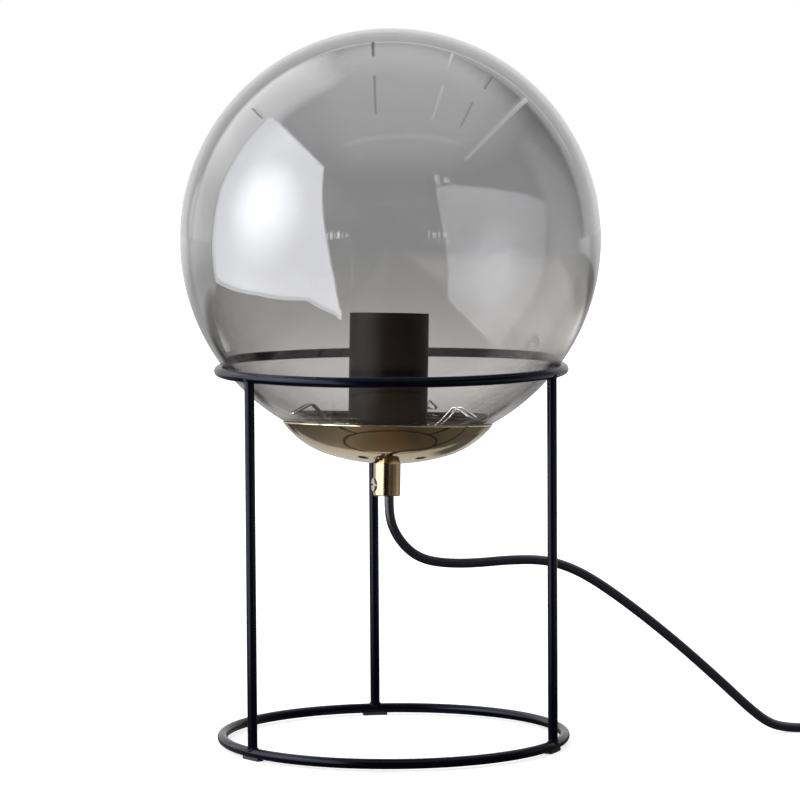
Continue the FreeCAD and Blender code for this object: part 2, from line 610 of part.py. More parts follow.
def make_contacts():
    head_low = WEB_TOP + CONTACT_UNDER_HEAD
    head = disc(CONTACT_HEAD_DIA / 2, head_low, head_low + CONTACT_HEAD_THICK)
    shank = disc(CONTACT_SHANK_DIA / 2, WEB_LOW - CONTACT_TAIL_THICK - CONTACT_GAP, head_low)
    tail_low = WEB_LOW - CONTACT_TAIL_THICK - CONTACT_GAP
    tail = disc(CONTACT_TAIL_DIA / 2, tail_low, tail_low + CONTACT_TAIL_THICK)
    save("centre_contact", tip_head(head.fuse(shank).fuse(tail).removeSplitter()))

    half = LEAF_WIDTH / 2
    rise = CONTACT_UNDER_HEAD - LEAF_THICK
    heel = CONTACT_HEAD_DIA / 2 + LEAF_SLOPE
    top_line = [V(-CONTACT_HEAD_DIA / 2, -half, WEB_TOP + rise),
                V(CONTACT_HEAD_DIA / 2, -half, WEB_TOP + rise),
                V(heel, -half, WEB_TOP), V(LEAF_REACH, -half, WEB_TOP)]
    lifted = [point + V(0, 0, LEAF_THICK) for point in reversed(top_line)]
    outline = Part.makePolygon(top_line + lifted + [top_line[0]])
    leaf = Part.Face(outline).extrude(V(0, LEAF_WIDTH, 0))
    leaf = leaf.cut(disc(CONTACT_SHANK_DIA / 2 + CONTACT_GAP, WEB_TOP, head_low))
    save("contact_leaf", tip_head(leaf))

    outer = SHELL_OUTER + SIDE_CONTACT_THICK
    strip_half = SIDE_CONTACT_WIDTH / 2
    strip = block(-outer, -SHELL_OUTER, -strip_half, strip_half,
                  WEB_LOW, SHELL_LOW + SIDE_CONTACT_RISE)
    strip = strip.cut(disc(SHELL_OUTER, WEB_LOW, SHELL_LOW + SIDE_CONTACT_RISE))
    save("side_contact", tip_head(strip))

    for sign, name in ((1, "live"), (-1, "neutral")):
        half = TERMINAL_SIZE / 2
        middle = sign * TERMINAL_OFFSET
        low = WEB_LOW - TERMINAL_HEIGHT
        body = block(middle - half, middle + half, -half, half, low, WEB_LOW)
        hole = disc(TERMINAL_SCREW_DIA / 2 + THREAD_CLEARANCE, low, WEB_LOW, middle)
        save("terminal_" + name, tip_head(body.cut(hole)))
    save("terminal_screws", tip_head(Part.makeCompound(
        [terminal_screw(sign) for sign in (1, -1)])))


def terminal_screw(sign):
    low = WEB_LOW - TERMINAL_HEIGHT
    middle = sign * TERMINAL_OFFSET
    shank = disc(TERMINAL_SCREW_DIA / 2, low, WEB_LOW + WEB_THICK / 2 - CONTACT_GAP, middle)
    head = disc(TERMINAL_SCREW_HEAD / 2, low - TERMINAL_HEAD_THICK, low, middle)
    slot = block(middle - TERMINAL_SCREW_HEAD, middle + TERMINAL_SCREW_HEAD,
                 -SMALL_SLOT_WIDTH / 2, SMALL_SLOT_WIDTH / 2,
                 low - TERMINAL_HEAD_THICK, low - TERMINAL_HEAD_THICK + SMALL_SLOT_DEPTH)
    return shank.fuse(head).cut(slot).removeSplitter()


def make_inner_wiring():
    points = inner_cord_points()
    save("cord_inner", tip_head(bent_rod(points, CORD_DIA)))
    start = points[-1].z
    inner_face = TERMINAL_OFFSET - TERMINAL_SIZE / 2
    middle_z = WEB_LOW - TERMINAL_HEIGHT / 2
    for sign, name in ((1, "live"), (-1, "neutral")):
        rise = (middle_z - start) / 2
        way = [V(sign * CORE_SPREAD, 0, start), V(sign * CORE_SPREAD, 0, start + rise / 2),
               V(sign * WIRE_BEND_REACH, 0, middle_z), V(sign * inner_face, 0, middle_z)]
        save("wire_" + name, tip_head(bent_rod(way, CORE_DIA)))


# ---- Switch ----
SWITCH_END_X = SWITCH_INLET_X + SWITCH_LENGTH
SWITCH_MID_X = SWITCH_INLET_X + SWITCH_LENGTH / 2
SWITCH_HALF = SWITCH_WIDTH / 2


def switch_block(inset, low, high):
    """The switch's rounded outline, moved in by inset, between two heights."""
    corner = SWITCH_CORNER - inset
    shape = block(SWITCH_INLET_X + inset, SWITCH_END_X - inset,
                  SWITCH_Y - SWITCH_HALF + inset, SWITCH_Y + SWITCH_HALF - inset, low, high)
    upright = [edge for edge in shape.Edges
               if edge.BoundBox.XLength < 0.01 and edge.BoundBox.YLength < 0.01]
    return shape.makeFillet(corner, upright)


def cord_channel():
    """The bores where the cord enters and leaves the switch."""
    radius = CORD_RADIUS + SWITCH_CORD_CLEARANCE
    return Part.makeCylinder(radius, SWITCH_LENGTH, V(SWITCH_INLET_X, SWITCH_Y, SWITCH_CORD_Z),
                             V(1, 0, 0))


def rocker_window():
    half_x = ROCKER_RADIUS + ROCKER_CLEARANCE
    half_y = ROCKER_WIDTH / 2 + ROCKER_CLEARANCE
    return block(SWITCH_MID_X - half_x, SWITCH_MID_X + half_x,
                 SWITCH_Y - half_y, SWITCH_Y + half_y,
                 SWITCH_HEIGHT - 2 * SWITCH_WALL, SWITCH_HEIGHT)


def switch_screw_places():
    return [(x, SWITCH_Y + side * SWITCH_SCREW_SPREAD / 2)
            for x in (SWITCH_INLET_X + SWITCH_SCREW_INSET, SWITCH_END_X - SWITCH_SCREW_INSET)
            for side in (-1, 1)]


def make_switch():
    post = SWITCH_SCREW_DIA / 2 + SWITCH_WALL
    floor = SWITCH_WALL
    base = switch_block(0, 0, SWITCH_SPLIT)
    base = base.cut(switch_block(SWITCH_WALL, floor, SWITCH_SPLIT))
    cover = switch_block(0, SWITCH_SPLIT, SWITCH_HEIGHT)
    cover = cover.makeFillet(SWITCH_WALL, [
        edge for edge in cover.Edges if edge.BoundBox.ZMin > SWITCH_HEIGHT - 0.01])
    cover = cover.cut(switch_block(SWITCH_WALL, SWITCH_SPLIT, SWITCH_HEIGHT - SWITCH_WALL))
    for x, y in switch_screw_places():
        base = base.fuse(disc(post, 0, SWITCH_SPLIT, x, y))
        cover = cover.fuse(disc(post, SWITCH_SPLIT, SWITCH_HEIGHT - SWITCH_WALL, x, y))
    ear_inner = ROCKER_WIDTH / 2 + ROCKER_CLEARANCE
    ear_outer = ear_inner + ROCKER_EAR_THICK
    ear_half = ROCKER_PIN_DIA
    for side in (-1, 1):
        y0, y1 = sorted((SWITCH_Y + side * ear_inner, SWITCH_Y + side * ear_outer))
        base = base.fuse(block(SWITCH_MID_X - ear_half, SWITCH_MID_X + ear_half, y0, y1,
                               floor, SWITCH_HEIGHT - SWITCH_WALL - ROCKER_CLEARANCE))
    pin_hole = Part.makeCylinder(ROCKER_PIN_DIA / 2 + ROCKER_PIN_CLEARANCE, 2 * ear_outer,
                                 V(SWITCH_MID_X, SWITCH_Y - ear_outer, ROCKER_AXIS_Z), V(0, 1, 0))
    base = cut_all(base, [pin_hole, cord_channel()])
    cover = cut_all(cover, [rocker_window(), cord_channel()])
    for x, y in switch_screw_places():
        way = disc(SWITCH_SCREW_DIA / 2 + SWITCH_SCREW_CLEARANCE, 0,
                   SWITCH_HEIGHT - 2 * SWITCH_WALL, x, y)
        base = base.cut(way)
        cover = cover.cut(way)
        base = base.cut(disc(SWITCH_SCREW_HEAD / 2 + SWITCH_SCREW_CLEARANCE, 0,
                             SWITCH_WALL, x, y))
    save("switch_base", base.removeSplitter())
    save("switch_cover", cover.removeSplitter())
    save("switch_screws", Part.makeCompound([switch_screw(x, y)
                                             for x, y in switch_screw_places()]))
    save("switch_rocker", make_rocker())
    make_switch_contacts()


def switch_screw(x, y):
    low = SWITCH_WALL / 2
    head = disc(SWITCH_SCREW_HEAD / 2, low, SWITCH_WALL, x, y)
    shank = disc(SWITCH_SCREW_DIA / 2, SWITCH_WALL, SWITCH_HEIGHT - 3 * SWITCH_WALL, x, y)
    slot = block(x - SWITCH_SCREW_HEAD, x + SWITCH_SCREW_HEAD,
                 y - SMALL_SLOT_WIDTH / 2, y + SMALL_SLOT_WIDTH / 2, low, low + SMALL_SLOT_DEPTH)
    return head.fuse(shank).cut(slot).removeSplitter()


def make_rocker():
    """A drum segment with a shallow valley across its top, tipped to its off side."""
    axis = V(SWITCH_MID_X, SWITCH_Y - ROCKER_WIDTH / 2, ROCKER_AXIS_Z)
    drum = Part.makeCylinder(ROCKER_RADIUS, ROCKER_WIDTH, axis, V(0, 1, 0))
    keep = block(SWITCH_MID_X - ROCKER_RADIUS, SWITCH_MID_X + ROCKER_RADIUS,
                 SWITCH_Y - ROCKER_WIDTH, SWITCH_Y + ROCKER_WIDTH,
                 ROCKER_AXIS_Z - ROCKER_PIN_DIA, ROCKER_AXIS_Z + ROCKER_RADIUS)
    drum = drum.common(keep)
    valley = ROCKER_AXIS_Z + ROCKER_VALLEY
    rim_rise = math.tan(math.radians(ROCKER_TILT)) * ROCKER_RADIUS
    top = ROCKER_AXIS_Z + 2 * ROCKER_RADIUS
    corners = [V(SWITCH_MID_X, 0, valley),
               V(SWITCH_MID_X + ROCKER_RADIUS, 0, valley + rim_rise),
               V(SWITCH_MID_X + ROCKER_RADIUS, 0, top),
               V(SWITCH_MID_X - ROCKER_RADIUS, 0, top),
               V(SWITCH_MID_X - ROCKER_RADIUS, 0, valley + rim_rise),
               V(SWITCH_MID_X, 0, valley)]
    wedge = Part.Face(Part.makePolygon(corners)).extrude(V(0, 2 * ROCKER_WIDTH, 0))
    wedge.translate(V(0, SWITCH_Y - ROCKER_WIDTH, 0))
    drum = drum.cut(wedge)
    reach = ROCKER_WIDTH / 2 + ROCKER_PIN_LENGTH
    pin = Part.makeCylinder(ROCKER_PIN_DIA / 2, 2 * reach,
                            V(SWITCH_MID_X, SWITCH_Y - reach, ROCKER_AXIS_Z), V(0, 1, 0))
    rocker = drum.fuse(pin).removeSplitter()
    rocker.rotate(V(SWITCH_MID_X, SWITCH_Y, ROCKER_AXIS_Z), V(0, 1, 0), -ROCKER_TILT)
    return rocker


def make_switch_contacts():
    """Two fixed contacts, with the cord's live core ending at each."""
    half = SWITCH_CONTACT_SIZE / 2
    reach = SWITCH_LENGTH / 2 - SWITCH_CORD_GRIP
    low = SWITCH_CORD_Z - SWITCH_CORE_SINK
    contacts, cores = [], []
    for side in (-1, 1):
        x = SWITCH_MID_X + side * (ROCKER_RADIUS - SWITCH_CONTACT_SIZE)
        contacts.append(block(x - half, x + half, SWITCH_Y - half, SWITCH_Y + half,
                              SWITCH_WALL, low + CORE_DIA / 2))
        jacket = SWITCH_MID_X + side * reach
        contact = x + side * half
        step = (jacket - contact) / 4
        y = SWITCH_Y + CORE_SPREAD
        way = [V(jacket, y, SWITCH_CORD_Z), V(jacket - step, y, SWITCH_CORD_Z),
               V(contact + step, y, low), V(contact, y, low)]
        cores.append(bent_rod(way, CORE_DIA))
    save("switch_contacts", Part.makeCompound(contacts))
    y = SWITCH_Y + SWITCH_NEUTRAL_Y
    start, end = SWITCH_MID_X - reach, SWITCH_MID_X + reach
    way = [V(start, SWITCH_Y - CORE_SPREAD, SWITCH_CORD_Z),
           V(start + 2 * CORE_DIA, SWITCH_Y - CORE_SPREAD, SWITCH_CORD_Z),
           V(start + 6 * CORE_DIA, y, low), V(end - 6 * CORE_DIA, y, low),
           V(end - 2 * CORE_DIA, SWITCH_Y - CORE_SPREAD, SWITCH_CORD_Z),
           V(end, SWITCH_Y - CORE_SPREAD, SWITCH_CORD_Z)]
    cores.append(bent_rod(way, CORE_DIA))
    save("switch_cores", Part.makeCompound(cores))


# ---- Coil ----
COIL_OUTER_RADIUS = COIL_INNER_RADIUS + COIL_PITCH * COIL_TURNS
COIL_CENTRE_Y = SWITCH_Y + COIL_OUTER_RADIUS
COIL_FAR_Y = COIL_CENTRE_Y + COIL_OUTER_RADIUS


def coil_point(turn):
    """Point and heading after a number of turns: in on the table, a climb, and out on top."""
    climb_end = COIL_TURNS + COIL_CLIMB_TURNS
    angle = 2 * math.pi * turn - math.pi / 2
    spread = COIL_PITCH / (2 * math.pi)
    if turn <= COIL_TURNS:
        radius, grow = COIL_OUTER_RADIUS - COIL_PITCH * turn, -spread
        rise, slope = 0.0, 0.0
    elif turn <= climb_end:
        radius, grow = COIL_INNER_RADIUS, 0.0
        share = (turn - COIL_TURNS) / COIL_CLIMB_TURNS
        rise = COIL_LAYER_RISE * (1 - math.cos(math.pi * share)) / 2
        slope = COIL_LAYER_RISE / (4 * COIL_CLIMB_TURNS) * math.sin(math.pi * share)
    else:
        radius, grow = COIL_INNER_RADIUS + COIL_PITCH * (turn - climb_end), spread
        rise, slope = COIL_LAYER_RISE, 0.0
    if turn in (0, COIL_TURNS, climb_end, climb_end + COIL_TURNS):
        grow = 0.0
    along = V(-math.sin(angle), math.cos(angle), 0)
    outward = V(math.cos(angle), math.sin(angle), 0)
    point = V(COIL_START_X, COIL_CENTRE_Y, CORD_RADIUS + rise) + outward * radius
    heading = (along * radius + outward * grow + V(0, 0, slope)).normalize()
    return point, heading


def biarc(first, into, last, out):
    """Two arcs that leave first along into, meet smoothly and reach last along out."""
    span = last - first
    both = into + out
    bend = 2 * (1 - into.dot(out))
    reach = (-span.dot(both) + math.sqrt(span.dot(both)**2 + bend * span.dot(span))) / bend
    meet = (first + last + (into - out) * reach) * 0.5
    middle_heading = (meet - first - into * reach).normalize()

    def arc(start, heading, end):
        chord = end - start
        half = heading.getAngle(chord)
        side = (chord * (1 / chord.Length) - heading * math.cos(half)).normalize()
        sagitta = chord.Length / 2 * math.tan(half / 2)
        bulge = (heading * math.sin(half) - side * math.cos(half)).normalize()
        return Part.Arc(start, start + chord * 0.5 + bulge * sagitta, end).toShape()

    return [arc(first, into, meet), arc(meet, middle_heading, last)]


def make_coil():
    total = 2 * COIL_TURNS + COIL_CLIMB_TURNS
    marks = [k / 4 for k in range(int(total * 4) + 1)]
    places = [coil_point(mark) for mark in marks]
    start, end = places[0], places[-1]
    lead_in = start[0] - start[1] * COIL_END_STRAIGHT
    lead_out = end[0] + end[1] * COIL_END_STRAIGHT
    edges = [Part.LineSegment(lead_in, start[0]).toShape()]
    for (here, into), (there, out) in zip(places, places[1:]):
        edges += biarc(here, into, there, out)
    edges.append(Part.LineSegment(end[0], lead_out).toShape())
    tube = sweep(edges, CORD_DIA, lead_in, start[1])
    length = sum(edge.Length for edge in edges)
    share = tube.Volume / (math.pi * CORD_RADIUS**2 * length)
    print(f"cord_coil: length {length:.1f}, volume ratio {share:.4f},"
          f" least gap {coil_gap(edges):.2f}")
    save("cord_coil", tube)
    return length, lead_in, lead_out


def coil_gap(edges):
    """Least gap between stretches of the coil that aren't neighbours along it."""
    samples, travelled = [], 0.0
    for edge in edges:
        count = max(2, int(edge.Length))
        for k in range(count):
            at = edge.FirstParameter + (edge.LastParameter - edge.FirstParameter) * k / count
            samples.append((travelled + edge.Length * k / count, edge.valueAt(at)))
        travelled += edge.Length
    least = 1e9
    for i, (here, point) in enumerate(samples):
        for there, other in samples[i + 1:]:
            if there - here > 4 * CORD_DIA:
                least = min(least, point.distanceToPoint(other))
    return least - CORD_DIA


# ---- Plug ----
PLUG_Y = COIL_FAR_Y - PLUG_INSET
PLUG_BACK_X = PLUG_CORD_X - RELIEF_LENGTH
PLUG_FACE_X = PLUG_BACK_X - PLUG_BODY_LENGTH


def make_plug():
    half = PLUG_BODY_WIDTH / 2
    back_half = PLUG_BACK_WIDTH / 2
    low = PLUG_CORD_Z - PLUG_BODY_THICK / 2
    waist_x = PLUG_FACE_X + PLUG_WAIST
    corners = [V(PLUG_FACE_X, PLUG_Y - half, low), V(waist_x, PLUG_Y - half, low),
               V(PLUG_BACK_X, PLUG_Y - back_half, low), V(PLUG_BACK_X, PLUG_Y + back_half, low),
               V(waist_x, PLUG_Y + half, low), V(PLUG_FACE_X, PLUG_Y + half, low),
               V(PLUG_FACE_X, PLUG_Y - half, low)]
    body = Part.Face(Part.makePolygon(corners)).extrude(V(0, 0, PLUG_BODY_THICK))
    body = body.makeFillet(PLUG_ROUND, [edge for edge in body.Edges
                                        if edge.BoundBox.XMax > PLUG_FACE_X + 0.01
                                        and edge.BoundBox.XMin < PLUG_BACK_X - 0.01])
    pins = []
    for side in (-1, 1):
        face = V(PLUG_FACE_X, PLUG_Y + side * PLUG_PIN_SPACING / 2, PLUG_CORD_Z)
        pin = Part.makeCylinder(PLUG_PIN_DIA / 2, PLUG_PIN_LENGTH, face, V(-1, 0, 0))
        pin = pin.makeFillet(PLUG_PIN_ROUND, [edge for edge in pin.Edges
                                              if edge.BoundBox.XMax < PLUG_FACE_X - 1])
        root = Part.makeCylinder(PLUG_PIN_ROOT_DIA / 2, PLUG_PIN_DEPTH, face, V(1, 0, 0))
        pins.append(pin.fuse(root).removeSplitter())
        body = body.cut(Part.makeCylinder(PLUG_PIN_ROOT_DIA / 2 + PLUG_PIN_CLEARANCE,
                                          PLUG_PIN_DEPTH, face, V(1, 0, 0)))
    save("plug_body", body)
    save("plug_pins", Part.makeCompound(pins))

    relief = Part.makeCone(RELIEF_DIA / 2, RELIEF_TIP_DIA / 2, RELIEF_LENGTH,
                           V(PLUG_BACK_X, PLUG_Y, PLUG_CORD_Z), V(1, 0, 0))
    step = RELIEF_LENGTH / (RELIEF_GROOVES + 1)
    for k in range(1, RELIEF_GROOVES + 1):
        at = PLUG_BACK_X + step * k - RELIEF_GROOVE_WIDTH / 2
        centre = V(at, PLUG_Y, PLUG_CORD_Z)
        local = RELIEF_DIA / 2 + (RELIEF_TIP_DIA - RELIEF_DIA) / 2 * step * k / RELIEF_LENGTH
        band = Part.makeCylinder(RELIEF_DIA, RELIEF_GROOVE_WIDTH, centre, V(1, 0, 0))
        core = Part.makeCylinder(max(local - RELIEF_GROOVE_DEPTH, CORD_RADIUS + RELIEF_WALL),
                                 RELIEF_GROOVE_WIDTH, centre, V(1, 0, 0))
        relief = relief.cut(band.cut(core))
    save("plug_strain_relief", relief)


# ---- Cord on the table ----

def make_free_cords():
    exit_point = on_globe_axis(CORD_EXIT.x, CORD_EXIT.y, CORD_EXIT.z)
    below_exit = on_globe_axis(CORD_EXIT.x, CORD_EXIT.y, CORD_EXIT.z - CORD_FIRST_RUN)
    lead = [exit_point, below_exit] + [V(*point) for point in CORD_LEAD_POINTS]
    lead += [V(SWITCH_INLET_X - CORD_LAST_RUN, SWITCH_Y, SWITCH_CORD_Z),
             V(SWITCH_INLET_X + SWITCH_CORD_GRIP, SWITCH_Y, SWITCH_CORD_Z)]
    total = cord_tube("cord_lead", lead)
    coil_length, coil_in, coil_out = make_coil()
    run = [V(SWITCH_END_X - SWITCH_CORD_GRIP, SWITCH_Y, SWITCH_CORD_Z),
           V(SWITCH_END_X + CORD_LAST_RUN, SWITCH_Y, SWITCH_CORD_Z),
           V(coil_in.x - CORD_LAST_RUN, SWITCH_Y, CORD_RADIUS), coil_in]
    total += cord_tube("cord_run", run)
    tail = [coil_out, coil_out - V(TAIL_END_RUN, 0, 0),
            V(PLUG_CORD_X + TAIL_END_RUN, PLUG_Y, PLUG_CORD_Z),
            V(PLUG_CORD_X, PLUG_Y, PLUG_CORD_Z)]
    total += cord_tube("cord_tail", tail)
    hidden = SWITCH_LENGTH - 2 * SWITCH_CORD_GRIP
    print(f"free cord in all: {total + coil_length + hidden:.0f}")


make_stand()
make_globe()
make_bowl()
make_stack()
make_clips()
make_grip()
make_holder()
make_contacts()
make_inner_wiring()
make_switch()
make_plug()
make_free_cords()

globe_centre = on_globe_axis(0, 0, 0)
print("globe centre", globe_centre, "head axis", on_globe_axis(0, 0, 1) - globe_centre)
print("height", GLOBE_Z + GLOBE_RADIUS)
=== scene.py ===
# %% [markdown]
# # Glass globe table lamp
# A ball of smoked glass rests in the upper ring of a black rod stand. A polished brass bowl
# closes the ball's mouth from below, and a lampholder stands inside on a threaded tube.
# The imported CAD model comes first. It fixes every place and size, so each piece made here
# is measured against it and goes where the model says.

import json
import math
from functools import reduce

import bmesh
import bpy
from mathutils import Matrix, Vector, noise


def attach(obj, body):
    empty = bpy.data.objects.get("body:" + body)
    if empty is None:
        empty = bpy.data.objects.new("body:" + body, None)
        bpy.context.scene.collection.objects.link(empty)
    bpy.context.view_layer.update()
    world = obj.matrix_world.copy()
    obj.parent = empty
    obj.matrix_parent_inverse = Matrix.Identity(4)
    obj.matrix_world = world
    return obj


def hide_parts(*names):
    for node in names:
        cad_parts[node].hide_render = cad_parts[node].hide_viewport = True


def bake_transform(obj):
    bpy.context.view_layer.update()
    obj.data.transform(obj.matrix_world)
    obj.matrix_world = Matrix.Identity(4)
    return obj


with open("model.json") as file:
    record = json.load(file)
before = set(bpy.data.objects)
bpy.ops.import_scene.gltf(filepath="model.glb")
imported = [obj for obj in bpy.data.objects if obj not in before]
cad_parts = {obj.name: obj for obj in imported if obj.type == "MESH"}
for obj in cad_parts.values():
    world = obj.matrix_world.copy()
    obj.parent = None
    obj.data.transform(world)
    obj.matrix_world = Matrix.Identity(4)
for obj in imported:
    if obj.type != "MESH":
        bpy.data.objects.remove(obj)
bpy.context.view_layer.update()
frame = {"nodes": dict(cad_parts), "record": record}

# %% [markdown]
# The head of the real lamp sits a little tipped in its ring. Everything that turns about the
# head's axis is easier to draw upright, about the middle of the globe, and then tipped by one
# small matrix. Numbers below are in millimetres, because that is how the lamp is drawn, and
# they are turned into Blender's metres at the last moment.

# %% The head's place and lean
MM = 0.001
GLOBE_CENTRE = Vector((0.0, 0.0, 301.1663))
HEAD_TURN = (Matrix.Rotation(math.radians(1.2), 3, "Y")
             @ Matrix.Rotation(math.radians(-3.5), 3, "X"))


def upright(x, y, z):
    """A point given in millimetres from the middle of the stand's foot."""
    return Vector((x, y, z)) * MM


def on_head(x, y, z):
    """A point given in millimetres from the globe's centre, tipped with the head."""
    return (HEAD_TURN @ Vector((x, y, z)) + GLOBE_CENTRE) * MM


print("head axis:", [round(a, 4) for a in HEAD_TURN @ Vector((0, 0, 1))])

# %% [markdown]
# ## Camera
# The photograph was taken with a long lens, a little above the lamp's middle. One way to find
# the camera is to guess and nudge. Here the two rings, whose real shape is a circle, gave
# the height and pitch by least squares, so the camera is written down as plain numbers.

# %% Place the camera
CAMERA_PLACE = Vector((0.0, -2.4399, 0.41016))
CAMERA_YAW = math.radians(0.119)
CAMERA_PITCH = math.radians(-4.793)
CAMERA_ROLL = math.radians(-0.352)


def camera_matrix():
    """Where the camera stands, and its three axes from yaw, pitch and roll."""
    look = Vector((math.sin(CAMERA_YAW) * math.cos(CAMERA_PITCH),
                   math.cos(CAMERA_YAW) * math.cos(CAMERA_PITCH),
                   math.sin(CAMERA_PITCH)))
    right = look.cross(Vector((0, 0, 1))).normalized()
    up = right.cross(look)
    turned_right = right * math.cos(CAMERA_ROLL) + up * math.sin(CAMERA_ROLL)
    turned_up = up * math.cos(CAMERA_ROLL) - right * math.sin(CAMERA_ROLL)
    axes = Matrix((turned_right, turned_up, -look)).transposed()
    return Matrix.Translation(CAMERA_PLACE) @ axes.to_4x4()


camera_data = bpy.data.cameras.new("photo_camera")
camera_data.lens = 185.0
camera_data.sensor_width = 36.0
camera_data.clip_end = 60.0
camera = bpy.data.objects.new("photo_camera", camera_data)
camera.matrix_world = camera_matrix()
bpy.context.scene.collection.objects.link(camera)
bpy.context.scene.camera = camera
bpy.context.scene.view_settings.view_transform = "Standard"
print("camera at", [round(v, 3) for v in CAMERA_PLACE], "lens", camera_data.lens)

# %% [markdown]
# ## Making meshes
# Most pieces of this lamp are turned, bent or drawn through a die. A few small helpers cover
# them: one links a mesh as a piece of the lamp, one turns a closed outline about an axis, one
# carries a circle along a line, and all join their rows of points in the same way. A stock
# cylinder would do for a first look, but its hard edges catch no light, so each outline below
# has its own small radii.

# %% Steps round a circle, and faces between rows of points
def circle(count):
    """The angle, cosine and sine of even steps round a circle."""
    angles = [2 * math.pi * k / count for k in range(count)]
    return [(angle, math.cos(angle), math.sin(angle)) for angle in angles]


def bands(rows, across, start=0, closed=False):
    """Faces that join neighbouring rows, each a closed loop of the same number of points."""
    faces = []
    for row in range(rows if closed else rows - 1):
        here, there = start + across * row, start + across * ((row + 1) % rows)
        for j in range(across):
            after = (j + 1) % across
            faces.append((here + j, here + after, there + after, there + j))
    return faces


def end_faces(rows, across):
    """The two faces that close the first and the last row."""
    return [tuple(reversed(range(across))), tuple((rows - 1) * across + j for j in range(across))]


# %% Link a mesh as a piece of the lamp
def add_piece(name, points, faces, body, replaced=(), crease=40.0):
    """A smooth-shaded mesh in metres that rides on a body and stands for CAD nodes."""
    mesh = bpy.data.meshes.new(name)
    mesh.from_pydata([tuple(p) for p in points], [], faces)
    mesh.update()
    shell = bmesh.new()
    shell.from_mesh(mesh)
    bmesh.ops.recalc_face_normals(shell, faces=shell.faces)
    shell.to_mesh(mesh)
    shell.free()
    mesh.shade_smooth()
    mesh.set_sharp_from_angle(angle=math.radians(crease))
    piece = bpy.data.objects.new(name, mesh)
    bpy.context.scene.collection.objects.link(piece)
    if replaced:
        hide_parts(*replaced)
    if body:
        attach(piece, body)
    return piece


# %% Turn a closed outline about an axis
def turned(name, outline, body, replaced=(), sides=96, wobble=None, crease=40.0):
    """Revolve a closed list of (radius, height) pairs, in millimetres, about the head's axis.

    wobble changes each radius by angle and height."""
    points = []
    for angle, c, s in circle(sides):
        for radius, height in outline:
            r = radius if wobble is None else wobble(radius, angle, height)
            points.append(on_head(r * c, r * s, height))
    faces = bands(sides, len(outline), closed=True)
    return add_piece(name, points, faces, body, replaced, crease)


# %% Carry a circle along a line
def tube_mesh(line, radius, sides=20):
    """Points and faces of a round tube along a list of points, with no twist in it."""
    count = len(line)
    along = [(line[min(k + 1, count - 1)] - line[max(k - 1, 0)]).normalized()
             for k in range(count)]
    side = along[0].orthogonal().normalized()
    points = []
    for place, ahead in zip(line, along):
        side = (side - ahead * side.dot(ahead)).normalized()
        up = ahead.cross(side)
        points += [place + (side * c + up * s) * radius for _, c, s in circle(sides)]
    return points, bands(count, sides) + end_faces(count, sides)


print("mesh helpers ready")

# %% [markdown]
# ## Cord
# The lamp's cord is 1.8 m of round black PVC flex. About 0.3 m of it shows: it leaves the
# grip, bends over the bottom of the stand and runs out of the picture, where a rocker switch,
# a neat coil and the plug follow. Bent wire looks stiff when its corners are arcs between
# straight runs, so the route is a NURBS curve of order 3 that the points only pull on, and
# the tube follows the points that Blender reads from that curve.

# %% The cord's route
CORD_RADIUS = 2.85
OFF_AXIS = (1.45 * math.cos(math.radians(15)), 1.45 * math.sin(math.radians(15)))
GRIP_END, STRAIGHT_END = -152.2403, -161.2403
CORD_EXIT, CORD_BELOW_EXIT = on_head(*OFF_AXIS, GRIP_END), on_head(*OFF_AXIS, STRAIGHT_END)
LEAD_ROUTE = [CORD_EXIT, CORD_BELOW_EXIT] + [upright(*point) for point in (
    (0.2, -9.4, 129.8), (6.6, -8.2, 119.4), (15.5, -6.6, 112.0), (27.0, -4.5, 108.5),
    (46.0, -1.4, 107.4), (72.0, 2.8, 109.2), (92.0, 6.4, 108.4), (108.0, 9.4, 103.0),
    (124.0, 12.4, 93.6), (146.0, 16.0, 77.2), (172.0, 19.6, 55.6), (198.0, 22.2, 31.9),
    (216.0, 23.4, 14.6), (228.0, 23.8, 5.4), (240.0, 24.2, 2.85), (256.0, 25.0, 2.9),
    (275.0, 26.0, 7.6), (290.0, 26.0, 7.6))]
COIL_X, COIL_Y = 386.0, 69.6
COIL_OUTER, COIL_INNER, COIL_PITCH = 43.6, 22.0, 7.2
COIL_LAYER_TURNS, COIL_CLIMB_TURNS, COIL_CLIMB = 3.0, 0.5, 6.6
POINTS_PER_TURN = 16


def coil_point(turn):
    """In on the table, up by one cord, and out again on top."""
    angle = 2 * math.pi * turn - math.pi / 2
    climb_end = COIL_LAYER_TURNS + COIL_CLIMB_TURNS
    if turn <= COIL_LAYER_TURNS:
        radius, rise = COIL_OUTER - COIL_PITCH * turn, 0.0
    elif turn <= climb_end:
        share = (turn - COIL_LAYER_TURNS) / COIL_CLIMB_TURNS
        radius, rise = COIL_INNER, COIL_CLIMB * (1 - math.cos(math.pi * share)) / 2
    else:
        radius, rise = COIL_INNER + COIL_PITCH * (turn - climb_end), COIL_CLIMB
    return upright(COIL_X + radius * math.cos(angle), COIL_Y + radius * math.sin(angle),
                   CORD_RADIUS + rise)


coil_turns = 2 * COIL_LAYER_TURNS + COIL_CLIMB_TURNS
coil_route = [coil_point(k / POINTS_PER_TURN)
              for k in range(int(coil_turns * POINTS_PER_TURN) + 1)]
FLEX_ROUTE = ([upright(338.0, 26.0, 7.6), upright(353.0, 26.0, 7.6), upright(371.3, 26.0, 2.85),
               upright(380.3, 26.0, 2.85)] + coil_route
              + [upright(380.3, 113.2, 9.45), upright(368.3, 113.2, 9.45),
                 upright(349.0, 112.2, 6.9), upright(337.0, 112.2, 6.9)])
print("route points:", len(LEAD_ROUTE), "before the switch,", len(FLEX_ROUTE), "after it")


